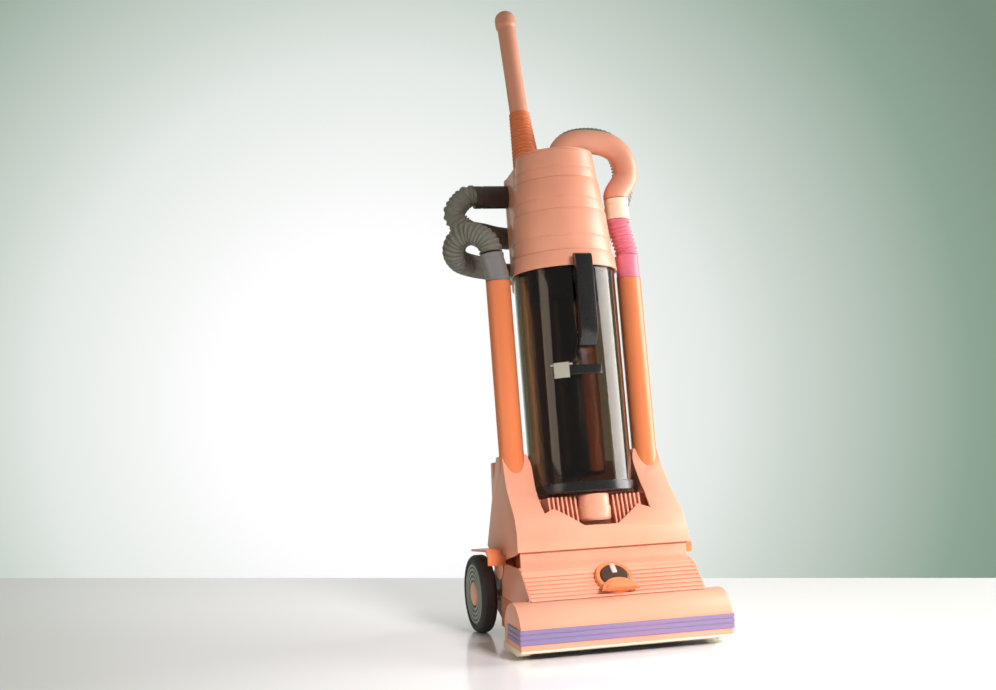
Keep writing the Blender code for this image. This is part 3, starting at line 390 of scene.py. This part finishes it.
def cyclone_painted_light():
    """The inner cyclone: painted light down its right front, red-orange where the key lamp falls, and
    painted shade, near black, elsewhere.
    """
    finish = plastic("inner_cyclone_lit_and_shaded", (0.6, 0.14, 0.05), (0.5, 0.11, 0.04), 0.30, coat=0.3)
    tree = finish.node_tree
    shader = tree.nodes["Principled BSDF"]
    place = add_node(tree, "ShaderNodeTexCoord")
    split = add_node(tree, "ShaderNodeSeparateXYZ", {0: place.outputs["Object"]})
    span = add_node(tree, "ShaderNodeMapRange", {"Value": split.outputs["X"], "From Min": -0.04,
                                                 "From Max": 0.04})
    # Painted light: past the middle in object X the ramp turns the wall red-orange, as if lit from the
    # right.
    lit_side_ramp = add_node(tree, "ShaderNodeValToRGB", {"Fac": span.outputs["Result"]})
    lit_side_ramp.color_ramp.elements[0].color = (0, 0, 0, 1)
    lit_side_ramp.color_ramp.elements[0].position = 0.50
    lit_side_ramp.color_ramp.elements[1].color = (1, 1, 1, 1)
    lit_side_ramp.color_ramp.elements[1].position = 0.58
    old = shader.inputs["Base Color"].links[0].from_socket
    blend = add_node(tree, "ShaderNodeMix", data_type="RGBA")
    tree.links.new(lit_side_ramp.outputs["Color"], blend.inputs["Factor"])
    # Painted shade: the near-black colour on the cyclone's left side.
    blend.inputs[6].default_value = (0.012, 0.009, 0.008, 1)
    tree.links.new(old, blend.inputs[7])
    tree.links.new(blend.outputs[2], shader.inputs["Base Color"])
    return finish


GRAIN = moulded_grain_group()
DUST = dust_group()
FINISHES = {
    "peach": plastic("peach_plastic", (0.80, 0.37, 0.24), (0.76, 0.30, 0.18), 0.34),
    "orange": plastic("orange_plastic", (0.78, 0.24, 0.09), (0.72, 0.19, 0.06), 0.32),
    "cream": plastic("cream_plastic", (0.90, 0.76, 0.56), (0.84, 0.68, 0.46), 0.40),
    "lavender": plastic("lavender_strip", (0.25, 0.20, 0.36), (0.33, 0.21, 0.33), 0.42, 0.2),
    "black": plastic("black_gloss", (0.010, 0.011, 0.010), (0.014, 0.014, 0.012), 0.26, 0.03, 0.01,
                     coat=0.15),
    "rubber": plastic("tyre_rubber", (0.022, 0.021, 0.020), (0.035, 0.033, 0.030), 0.62, 0.35, 0.12),
    "teal": plastic("ringed_disc", (0.06, 0.07, 0.065), (0.08, 0.09, 0.08), 0.42),
    "ring": plastic("disc_rings", (0.36, 0.40, 0.33), (0.32, 0.36, 0.30), 0.42),
    "clear": smoked_clear(),
    "grey_hose": plastic("grey_hose", (0.20, 0.20, 0.165), (0.16, 0.155, 0.12), 0.36, 0.1, 0.10),
    "grey_cuff": plastic("grey_cuff", (0.22, 0.22, 0.21), (0.18, 0.18, 0.16), 0.34),
    "dark_cuff": plastic("dark_cuff", (0.060, 0.050, 0.040), (0.045, 0.036, 0.030), 0.34),
    "pink": plastic("pink_bellows", (0.74, 0.20, 0.27), (0.70, 0.17, 0.25), 0.40),
    "steel": ground_steel(),
    "silver": plastic("silver_buckle", (0.40, 0.40, 0.33), (0.34, 0.34, 0.28), 0.30),
    "smoke": plastic("dark_window", (0.06, 0.022, 0.012), (0.045, 0.016, 0.010), 0.20, 0.03,
                     coat=0.3),
    "bar": plastic("pale_bar", (0.55, 0.53, 0.48), (0.50, 0.48, 0.42), 0.30),
    "red": cyclone_painted_light(),
}
# Each CAD node's body, and its material slot, which names its finish.
BODY_OF = {node: body for body, nodes in frame["record"]["behaviour"]["bodies"].items() for node in nodes}
SLOT_OF = {item["node"]: item["material_slot"] for item in frame["record"]["subparts"]}


# Hose -----------------------------------------------------------------------

# In the leaning body's frame: from the left tube, round behind, over the top of the neck and back.
HOSE_ROUTE = [
    (-0.1148, -0.0150, 0.4748), (-0.1160, -0.0145, 0.4855), (-0.1230, -0.0100, 0.4985),
    (-0.1390, 0.0020, 0.5090), (-0.1560, 0.0170, 0.5040), (-0.1600, 0.0350, 0.4890),
    (-0.1460, 0.0560, 0.4770), (-0.1160, 0.0800, 0.4735), (-0.0830, 0.1080, 0.4745),
    (-0.0650, 0.1470, 0.4770), (-0.0370, 0.1800, 0.4800), (0.0000, 0.1920, 0.4830),
    (0.0400, 0.1880, 0.4870), (0.0780, 0.1720, 0.4980), (0.1090, 0.1300, 0.5210), (0.1290, 0.0830, 0.5560),
    (0.1370, 0.0500, 0.6010), (0.1320, 0.0440, 0.6420), (0.1140, 0.0560, 0.6720),
    (0.0880, 0.0840, 0.6860), (0.0680, 0.1160, 0.6870), (0.0600, 0.1480, 0.6700),
    (0.0590, 0.1720, 0.6350), (0.0520, 0.1910, 0.5920), (0.0280, 0.2020, 0.5600),
    (-0.0060, 0.1960, 0.5450), (-0.0430, 0.1740, 0.5410), (-0.0800, 0.1420, 0.5400),
    (-0.1130, 0.1250, 0.5440), (-0.1320, 0.1210, 0.5700), (-0.1130, 0.1210, 0.5955),
    (-0.0966, 0.1210, 0.5993),
]


def make_hose():
    """The stretch hose, whose radius = mean + height x a rounded wave of the length along it, and
    the cuff at each of its ends."""
    path, run = curve_through(upright(HOSE_ROUTE), 0.0011)
    pitch = 0.0066
    phase = 2 * math.pi * run / pitch
    radii = 0.0170 + 0.0013 * np.tanh(1.6 * np.cos(phase)) / math.tanh(1.6)
    grid = carried(path, radii, 30)
    hose = surface("corrugated_hose", grid, "grey_hose", "upright", "stretch_hose", sharp=80)
    foot = [(-TUBE_X, BIN_Y, TUBE_TOP + 0.0003), (-TUBE_X, BIN_Y, TUBE_TOP + 0.008),
            (-TUBE_X - 0.0060, BIN_Y, TUBE_TOP + 0.0340), (-TUBE_X - 0.0072, BIN_Y, TUBE_TOP + 0.0440)]
    line, step = curve_through(upright(foot), 0.0006)
    share = step / step[-1]
    radius = (0.0184 + 0.0007 * ((share < 0.12) | (share > 0.86))
              - 0.0012 * np.clip((share - 0.97) / 0.03, 0, 1))
    surface("lower_cuff", carried(line, radius, 48), "grey_cuff", "upright", "hose_cuff_lower", sharp=60)
    end = rounded([(0.0150, 0.0), (0.0186, 0.0), (0.0186, 0.052), (0.0178, 0.054), (0.0186, 0.056),
                   (0.0186, 0.0673), (0.0150, 0.0673)], 0.0008)
    grid = revolved(end, 56)
    root = 0.0290                  # the cuff leaves the lobe this far left and this far below its top
    grid = np.stack([-root - grid[..., 2], LOBE_Y + grid[..., 1], HOUSING_TOP - root + grid[..., 0]], -1)
    surface("upper_cuff", upright(grid), "dark_cuff", "upright", "hose_cuff_upper", sharp=40)


# Body -----------------------------------------------------------------------

def make_housing():
    """Three tapered bands and a flared skirt turned round the bin's axis, with fine turned lines."""
    profile = [(0.0, HOUSING_TOP - 0.0036), (0.0602, HOUSING_TOP - 0.0035)]
    z = HOUSING_TOP
    bands = ((0.047, 0.0652, 0.0602), (0.052, 0.0725, 0.0662), (0.0655, 0.0785, 0.0735))
    for height, low, high in bands:
        top = z - (0.0035 if z == HOUSING_TOP else 0)
        profile += [(high, top), (high + (low - high) * 0.5, z - height * 0.5)]
        for k in (0.62, 0.66):
            edge = high + (low - high) * k
            profile += [(edge, z - height * k + 0.0006), (edge - 0.0005, z - height * k),
                        (edge, z - height * k - 0.0006)]
        profile += [(low, z - height + 0.0008), (low - 0.0010, z - height)]
        z -= height
    profile += [(0.0800, HOUSING_Z), (0.0835, FLANGE_Z + 0.0012), (0.0832, FLANGE_Z), (0.0793, FLANGE_Z),
                (0.0793, FLANGE_Z + 0.0172), (0.0, FLANGE_Z + 0.0180)]
    grid = revolved(rounded(profile, 0.0012, 2), 96, (0, BIN_Y))
    surface("cyclone_bands", upright(grid), "peach", "upright", "cyclone_housing", sharp=38)
    lid = rounded([(0, HOUSING_TOP - 0.0012), (0.0500, HOUSING_TOP - 0.0012), (0.0515, HOUSING_TOP),
                   (0.0600, HOUSING_TOP), (0.0602, HOUSING_TOP - 0.0032), (0, HOUSING_TOP - 0.0032)],
                  0.0008)
    surface("turned_lid", upright(revolved(lid, 96, (0, BIN_Y))), "peach", "upright", "housing_lid",
            sharp=38)


def make_bin():
    """The clear bin's wall, its foot and the red inner cyclone, turned round the bin's axis."""
    bottom, top = 0.0990, 0.4498
    inside, outside = 0.0762, 0.0785
    wall = rounded([(inside, bottom), (outside, bottom), (outside, top), (inside, top), (inside, bottom)],
                   0.0006)
    surface("bin_wall", upright(revolved(wall, 96, (0, BIN_Y))), "clear", "upright", "bin_body",
            capped=False, sharp=40)
    base = rounded([(0, 0.0987), (0.0788, 0.0987), (0.0788, 0.1105), (0.0806, 0.1105), (0.0806, 0.0965),
                    (0.0786, 0.0945), (0, 0.0945)], 0.0008)
    surface("bin_foot", upright(revolved(base, 96, (0, BIN_Y))), "black", "upright", "bin_base", sharp=40)
    inner = rounded([(0.038, 0.1285), (0.0385, 0.1285), (0.040, 0.1300), (0.040, 0.4150), (0.038, 0.4150),
                     (0.038, 0.1285)], 0.0006)
    surface("red_cyclone", upright(revolved(inner, 72, (0, BIN_Y))), "red", "upright", "inner_cyclone",
            capped=False, sharp=40)


def make_ducts():
    """The right tube's pink cuff and ribbed bellows, the cream collar and the swan neck."""
    right, y = TUBE_X, BIN_Y
    cuff_top = TUBE_TOP + 0.0360
    line, step = curve_through(upright([(right, y, TUBE_TOP + 0.0003), (right, y, TUBE_TOP + 0.018),
                                        (right, y, cuff_top)]), 0.0006)
    share = step / step[-1]
    radius = 0.0181 + 0.0006 * ((share < 0.10) | (share > 0.88))
    surface("pink_cuff", carried(line, radius, 48), "pink", "upright", "bellows_cuff", sharp=60)
    low, high = np.array((right, y, cuff_top + 0.0003)), np.array((right - 0.0095, y, TUBE_TOP + 0.0945))
    rise = np.array((0, 0, 0.008))
    line, step = curve_through(upright([low, low + rise, (low + high) / 2, high - rise, high]), 0.0006)
    wave = np.tanh(1.8 * np.cos(2 * math.pi * step / step[-1] * 9 + math.pi)) / math.tanh(1.8)
    surface("ribbed_bellows", carried(line, 0.0168 + 0.0013 * wave, 48), "pink", "upright", "duct_bellows",
            sharp=80)
    foot = high + (0, 0, 0.0003)
    line, step = curve_through(upright([foot, foot + (0, 0, 0.0165), foot + (0, 0, 0.033)]), 0.0006)
    share = step / step[-1]
    radius = 0.0186 + 0.0007 * ((share < 0.2) | (share > 0.78))
    surface("cream_collar", carried(line, radius, 48), "cream", "upright", "neck_collar", sharp=60)
    x, y, z = foot + (0, 0, 0.033)
    lid = HOUSING_TOP + 0.0003
    knots = [(x, y, z + 0.0010), (x, y, z + 0.0035), (x, y, z + 0.0060), (x + 0.0030, y, z + 0.012),
             (x + 0.0110, y, z + 0.023), (x + 0.0190, y, z + 0.036), (x + 0.0200, y, z + 0.053),
             (x + 0.0130, y, z + 0.074), (x - 0.0050, y, z + 0.0885), (x - 0.0300, y, z + 0.0945),
             (x - 0.0560, y, z + 0.0945), (x - 0.0760, y, z + 0.0880), (x - 0.0850, y, z + 0.0780),
             (x - 0.0850, y, lid + 0.003), (x - 0.0850, y, lid)]
    line, step = curve_through(upright(knots), 0.002)
    surface("neck_bend", carried(line, np.full(len(line), 0.0193), 48), "peach", "upright", "swan_neck",
            sharp=70)


def make_tubes():
    """The two straight side tubes, with a small rolled rim at each end."""
    for side, sign in (("left", -1), ("right", 1)):
        profile = rounded([(0.0170, 0.110), (0.0190, 0.110), (0.0190, TUBE_TOP), (0.0170, TUBE_TOP),
                           (0.0170, 0.110)], 0.0008)
        surface("tube_" + side, upright(revolved(profile, 64, (sign * TUBE_X, BIN_Y))), "orange", "upright",
                "side_tube_" + side, capped=False, sharp=40)


def make_wand():
    """The handle tube with its domed end, and the ribbed cone that it slides in with."""
    tip, narrow = 0.322, 0.0153
    dome = [(0, 0), (0.0089, 0.0022), (0.0151, 0.0075), (0.0178, 0.0150), (0.0178, 0.0300),
            (0.0153, 0.0345)]
    profile = [(r, tip - drop) for r, drop in dome]
    profile += [(0.0150, 0.20), (narrow, 0.134), (narrow, -0.075), (0, -0.075)]
    surface("handle_tube", wand(revolved(rounded(profile, 0.006, 6), 56)), "peach", "wand", "wand_tube",
            sharp=50)
    ribs, high, low = 16, 0.122, 0.022
    z = np.linspace(high, low, ribs * 8)
    cone = np.interp(z, (0.014, high), (0.0238, 0.0171))
    turn = (high - z) / 0.100 * ribs * 2 * math.pi
    radius = cone - 0.0008 + 0.0015 * np.tanh(2 * np.cos(turn)) / math.tanh(2) - 0.0006
    side = list(zip(radius, z)) + [(0.0233, 0.0205), (0.0238, 0.014), (0.0238, -0.030), (0.0157, -0.030),
                                   (0.0157, high), (radius[0], high)]
    surface("ribbed_cone", wand(revolved(side, 56)), "orange", "wand", "wand_sleeve", capped=False,
            sharp=60)


# Cleaner head ---------------------------------------------------------------

def make_bumper():
    """The soft strip: a three-banded section carried round the front and both ends."""
    front, back, end = -0.1592, -0.098, 0.162
    face, side = -0.1576, 0.1603
    groove, soft, r = 0.0009, 0.0006, 0.0024
    section = ((0.0245, soft), (0.0252, 0), (0.0312, 0), (0.0316, groove), (0.0326, groove), (0.0330, 0),
               (0.0382, 0), (0.0386, groove), (0.0396, groove), (0.0400, 0), (0.0448, 0), (0.0455, soft))
    turn = np.linspace(0, math.pi / 2, 6)
    rows = []
    for z, step in section:
        left = np.stack([-end + step + r - r * np.cos(turn), front + step + r - r * np.sin(turn)], -1)
        right = left[::-1] * (-1, 1)
        outer = np.vstack([[(-end + step, back)], left, right, [(end - step, back)]])
        inner = np.array([(side, back), (side, face), (-side, face), (-side, back)])
        ring = np.vstack([outer, inner])
        rows.append(np.column_stack([ring, np.full(len(ring), z)]))
    grid = np.array(rows)
    rows, count = grid.shape[:2]
    faces = ring_quads(rows, count)
    faces += [list(range(count))[::-1], list(range((rows - 1) * count, rows * count))]
    mesh = bpy.data.meshes.new("banded_strip")
    mesh.from_pydata(head(grid).reshape(-1, 3).tolist(), [], faces)
    finish_piece("banded_strip", mesh, "lavender", "head", "bumper_strip", 30)


def make_dial():
    """The round height dial with its pointer, in a raised ring behind two arched lips."""
    centre = np.array((0.0, -0.09914 + HEAD_SHIFT, 0.09837))
    up, out = np.array((0.0, 0.768221, 0.640185)), np.array((0.0, -0.640185, 0.768221))

    def placed(grid):
        return centre + grid[..., :1] * (1.0, 0.0, 0.0) + grid[..., 1:2] * up + grid[..., 2:] * out

    ring = rounded([(0.0215, -0.0040), (0.0215, 0.0062), (0.0272, 0.0062), (0.0290, 0.0004),
                    (0.0252, 0.0004), (0.0252, -0.0040), (0.0215, -0.0040)], 0.0008)
    surface("dial_ring", placed(revolved(ring, 72)), "orange", "head", "dial_surround", capped=False,
            sharp=40)
    disc = rounded([(0, -0.003), (0.0211, -0.003), (0.0211, 0.0070), (0.0190, 0.0085), (0, 0.0098)], 0.0012)
    surface("dial_disc", placed(revolved(disc, 72)), "smoke", "dial", "height_dial", sharp=50)
    corner = np.radians(np.linspace(0, 360, 32, endpoint=False))
    middle = np.array((0, 0.0110))
    square = np.stack([np.cos(corner), np.sin(corner)], -1)
    square = np.sign(square) * np.abs(square) ** 0.35
    bar = square * (0.0040, 0.0085)
    rows = [np.column_stack([middle + bar * k, np.full(32, h)])
            for h, k in ((0.0080, 1.0), (0.0108, 1.0), (0.0112, 0.9))]
    surface("dial_pointer", placed(np.array(rows)), "bar", "dial", sharp=40)
    for name, low, radius, high, floor in (("outer", -0.038, 0.0300, 0.0128, -0.0290),
                                           ("inner", -0.042, 0.0255, 0.0162, -0.0300)):
        half = math.sqrt(radius ** 2 - (floor - low) ** 2)
        start = math.asin((floor - low) / radius)
        sweep = np.linspace(start, math.pi - start, 40)
        rim = np.stack([radius * np.cos(sweep), low + radius * np.sin(sweep)], -1)
        foot = np.stack([np.linspace(-half, half, 24)[1:-1], np.full(22, floor)], -1)
        outline = np.vstack([rim, foot])
        middle = outline.mean(axis=0)
        levels = ((0.0088, 1.0), (high - 0.0010, 1.0), (high - 0.0003, 0.985), (high, 0.96))
        rows = [np.column_stack([middle + (outline - middle) * k, np.full(len(outline), h)])
                for h, k in levels]
        surface("dial_lip_" + name, placed(np.array(rows)), "orange", "head", sharp=40)


def make_hood():
    """The brush hood: an open shell section carried from end to end, with softened end edges."""
    radius, inner_radius, y, z, foot = 0.0415, 0.0385, -0.117, 0.036, 0.0165
    front = y - radius + 0.0013

    def arc(size, start, end, count):
        angle = np.radians(np.linspace(start, end, count))
        return np.stack([y + size * np.cos(angle), z + size * np.sin(angle)], -1)

    curve = arc(radius, 166, 14, 49)
    outer = np.vstack([[(front, foot)], [(front, 0.030)], curve, [(curve[-1, 0], foot)]])
    curve = arc(inner_radius, 14, 166, 33)
    inner = np.vstack([[(curve[0, 0], foot)], curve, [(curve[-1, 0], foot)]])
    middle = np.array((y, foot))
    rows = [np.column_stack([np.full(len(outer), x), middle + (outer - middle) * (1 - shrink / radius)])
            for x, shrink in ((-0.1600, 0.0012), (-0.1596, 0.0003), (-0.1588, 0.0), (0.1588, 0.0),
                              (0.1596, 0.0003), (0.1600, 0.0012))]
    ends = [np.column_stack([np.full(len(inner), x), inner]) for x in (-0.1570, 0.1570)]
    points = head(np.vstack(rows + ends)).tolist()
    m, n = len(outer), len(inner)
    base = len(rows) * m
    last = base - m
    faces = [[a, a + 1, a + 1 + m, a + m] for row in range(len(rows) - 1)
             for a in range(row * m, row * m + m - 1)]
    faces += [[a, a + 1, a + 1 + n, a + n] for a in range(base, base + n - 1)]
    faces += [list(range(base, base + n)), list(range(base + n, base + 2 * n))[::-1],
              list(range(m))[::-1], list(range(last, last + m))]
    # The rim joins the outer section's feet to the inner one's, along both long sides and both ends.
    feet_front, feet_back = list(range(0, base, m)), list(range(m - 1, base, m))
    faces += [feet_front + [base + 2 * n - 1, base + n - 1], feet_back[::-1] + [base, base + n],
              [feet_front[0], base + n - 1, base, feet_back[0]],
              [feet_front[-1], feet_back[-1], base + n, base + 2 * n - 1]]
    mesh = bpy.data.meshes.new("rounded_hood")
    mesh.from_pydata(points, [], faces)
    finish_piece("rounded_hood", mesh, "peach", "head", "brush_hood", 36)


def make_wheels():
    """Each rear wheel turned round its axle: tyre, disc with four raised rings, and cap."""
    for side, sign in (("left", -1), ("right", 1)):
        body = "wheel_" + side

        def placed(profile):
            grid = revolved(profile, 96)
            return np.stack([sign * (0.150 + grid[..., 2]), 0.0857 + HEAD_SHIFT + grid[..., 1],
                             0.059 + grid[..., 0]], -1)

        tyre = rounded([(0.0475, -0.012), (0.0475, 0.0120), (0.0500, 0.0120), (0.0550, 0.0116),
                        (0.0590, 0.0070), (0.0590, -0.0070), (0.0550, -0.0116), (0.0475, -0.012)],
                       0.0030, 5)
        surface("tyre_ring_" + side, placed(tyre), "rubber", body, "tyre_" + side, capped=False, sharp=40)
        disc = [(0, 0.0090), (0.0185, 0.0090), (0.0195, 0.0104), (0.0472, 0.0104), (0.0472, -0.010),
                (0.0100, -0.010), (0.0100, -0.011), (0.0053, -0.011), (0.0053, 0.006), (0, 0.006)]
        surface("disc_" + side, placed(rounded(disc, 0.0005)), "teal", body, "wheel_disc_" + side, sharp=40)
        for k, radius in enumerate((0.0235, 0.0305, 0.0370, 0.0432)):
            near, far = radius - 0.0015, radius + 0.0015
            ring = rounded([(near, 0.0100), (near, 0.0113), (far, 0.0113), (far, 0.0100), (near, 0.0100)],
                           0.0006)
            surface(f"disc_ring_{side}_{k}", placed(ring), "ring", body, capped=False, sharp=40)
        cap = rounded([(0, 0.0130), (0.0100, 0.0126), (0.0170, 0.0116), (0.0180, 0.0105), (0.0180, 0.0093),
                       (0, 0.0093)], 0.0012, 4)
        surface("cap_" + side, placed(cap), "peach", body, "wheel_cap_" + side, sharp=40)


def dress_rest():
    """Every CAD solid with no piece of its own gets rounded edges and its finish. Those that the
    covers hide only get the finish."""
    finished = {name for o in bpy.data.objects for name in o.get("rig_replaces", ())}
    hidden = {"motor_can", "motor_shaft", "fan_impeller", "drive_belt", "bin_seal", "brush_bearing_left",
              "brush_bearing_right", "axle_left", "axle_right"}
    for node in sorted(BODY_OF):
        if node in finished:
            continue
        if node in hidden:
            skin = frame["nodes"][node]
            skin.data.materials.clear()
            skin.data.materials.append(FINISHES[SLOT_OF[node]])
        else:
            dressed(node, SLOT_OF[node], 0.0003 if node in ("fin_grille", "brush_bar") else 0.0007)


# Room -----------------------------------------------------------------------

def make_room():
    """A white floor, a wall that glows with a painted pool of light, white in the middle and pale
    green-grey at its edges, and soft studio lamps, the strongest from the right.
    """
    def plane(name, corners, colour, rough):
        mesh = bpy.data.meshes.new(name)
        mesh.from_pydata(corners, [], [(0, 1, 2, 3)])
        item = bpy.data.objects.new(name, mesh)
        bpy.context.scene.collection.objects.link(item)
        paint, tree, shader = new_finish(name + "_paint")
        shader.inputs["Base Color"].default_value = (*colour, 1)
        shader.inputs["Roughness"].default_value = rough
        mesh.materials.append(paint)
        return mesh, tree, shader

    # Distances away from the camera and across its view; the floor's far edge is level in that view.
    near = np.array(CAMERA_PLACE[:2])
    away, across = np.array((0.2763, 0.9611)), np.array((0.9611, -0.2763))
    edge, slant = 2.9465, -0.1777

    def spot(reach, side, z=0.0):
        return (*(near + away * reach + across * side), z)

    plane("floor", [spot(-4, -7), spot(-4, 7), spot(edge + 7 * slant, 7), spot(edge - 7 * slant, -7)],
          (0.96, 0.96, 0.95), 0.16)
    wall, tree, shader = plane("wall", [spot(9, -9, -5), spot(9, 9, -5), spot(9, 9, 9), spot(9, -9, 9)],
                               (0.0, 0.0, 0.0), 1.0)
    shader.inputs["Specular IOR Level"].default_value = 0.0
    # The wall's emission is a painted pool of light: white in the middle, a third of the way up, falling
    # off to grey-green at the edges.
    layout = wall.uv_layers.new(name="UVMap")
    layout.data.foreach_set("uv", [0, 0, 1, 0, 1, 1, 0, 1])
    place = add_node(tree, "ShaderNodeTexCoord")
    parts = add_node(tree, "ShaderNodeMapping", {
        "Vector": place.outputs["UV"], "Location": (-2.116, -1.277, 0.0), "Scale": (4.57, 3.56, 1.0)})
    glow = add_node(tree, "ShaderNodeTexGradient", {"Vector": parts.outputs["Vector"]},
                    gradient_type="SPHERICAL")
    light_pool_ramp = add_node(tree, "ShaderNodeValToRGB", {"Fac": glow.outputs["Fac"]})
    ramp = light_pool_ramp.color_ramp
    ramp.elements[0].position, ramp.elements[0].color = 0.0, (0.20, 0.28, 0.21, 1)
    ramp.elements[1].position, ramp.elements[1].color = 0.757, (1.0, 1.0, 1.0, 1)
    for stop, colour in ((0.157, (0.279, 0.381, 0.301, 1)), (0.414, (0.617, 0.679, 0.624, 1)),
                         (0.521, (0.783, 0.823, 0.791, 1))):
        ramp.elements.new(stop).color = colour
    shader.inputs["Emission Strength"].default_value = 1.0
    tree.links.new(light_pool_ramp.outputs["Color"], shader.inputs["Emission Color"])
    # The world's even fill lights the pieces; a paler flat colour is seen past the wall.
    world = bpy.data.worlds.new("room")
    world.use_nodes = True
    tree = world.node_tree
    fill = tree.nodes["Background"]
    fill.inputs["Color"].default_value = (1.0, 0.97, 0.94, 1)
    fill.inputs["Strength"].default_value = 0.24
    seen = add_node(tree, "ShaderNodeBackground", {"Color": (0.80, 0.83, 0.80, 1), "Strength": 1.0})
    sort = add_node(tree, "ShaderNodeLightPath")
    mix = add_node(tree, "ShaderNodeMixShader", {0: sort.outputs["Is Camera Ray"], 1: fill.outputs[0],
                                                 2: seen.outputs[0]})
    tree.links.new(mix.outputs[0], tree.nodes["World Output"].inputs["Surface"])
    bpy.context.scene.world = world
    bpy.context.scene.view_settings.view_transform = "Standard"
    for name, place, aim, size, tall, power, colour in (
            ("side", (1.75, -0.25, 0.75), (0, -0.1, 0.55), 1.3, 1.6, 47, (1.0, 0.98, 0.97)),
            ("front", (0.5, -2.3, 1.4), (0.05, -0.3, 0.0), 0.7, 0.5, 6.5, (1.0, 0.92, 0.95)),
            ("left", (-2.4, -0.9, 0.9), (0, 0, 0.5), 0.9, 1.4, 9, (1.0, 0.80, 0.64))):
        lamp = bpy.data.lights.new(name, "AREA")
        lamp.shape = "RECTANGLE"
        lamp.size, lamp.size_y, lamp.energy, lamp.color = size, tall, power, colour
        if name == "front":
            lamp.spread = math.radians(50)
        item = bpy.data.objects.new(name, lamp)
        item.visible_glossy = name != "front"
        bpy.context.scene.collection.objects.link(item)
        item.location = place
        item.rotation_mode = "QUATERNION"
        item.rotation_quaternion = (Vector(place) - Vector(aim)).to_track_quat("Z", "Y")


make_camera()
make_hose()
make_housing()
make_bin()
make_ducts()
make_tubes()
make_wand()
make_bumper()
make_dial()
make_hood()
make_wheels()
dress_rest()
make_room()
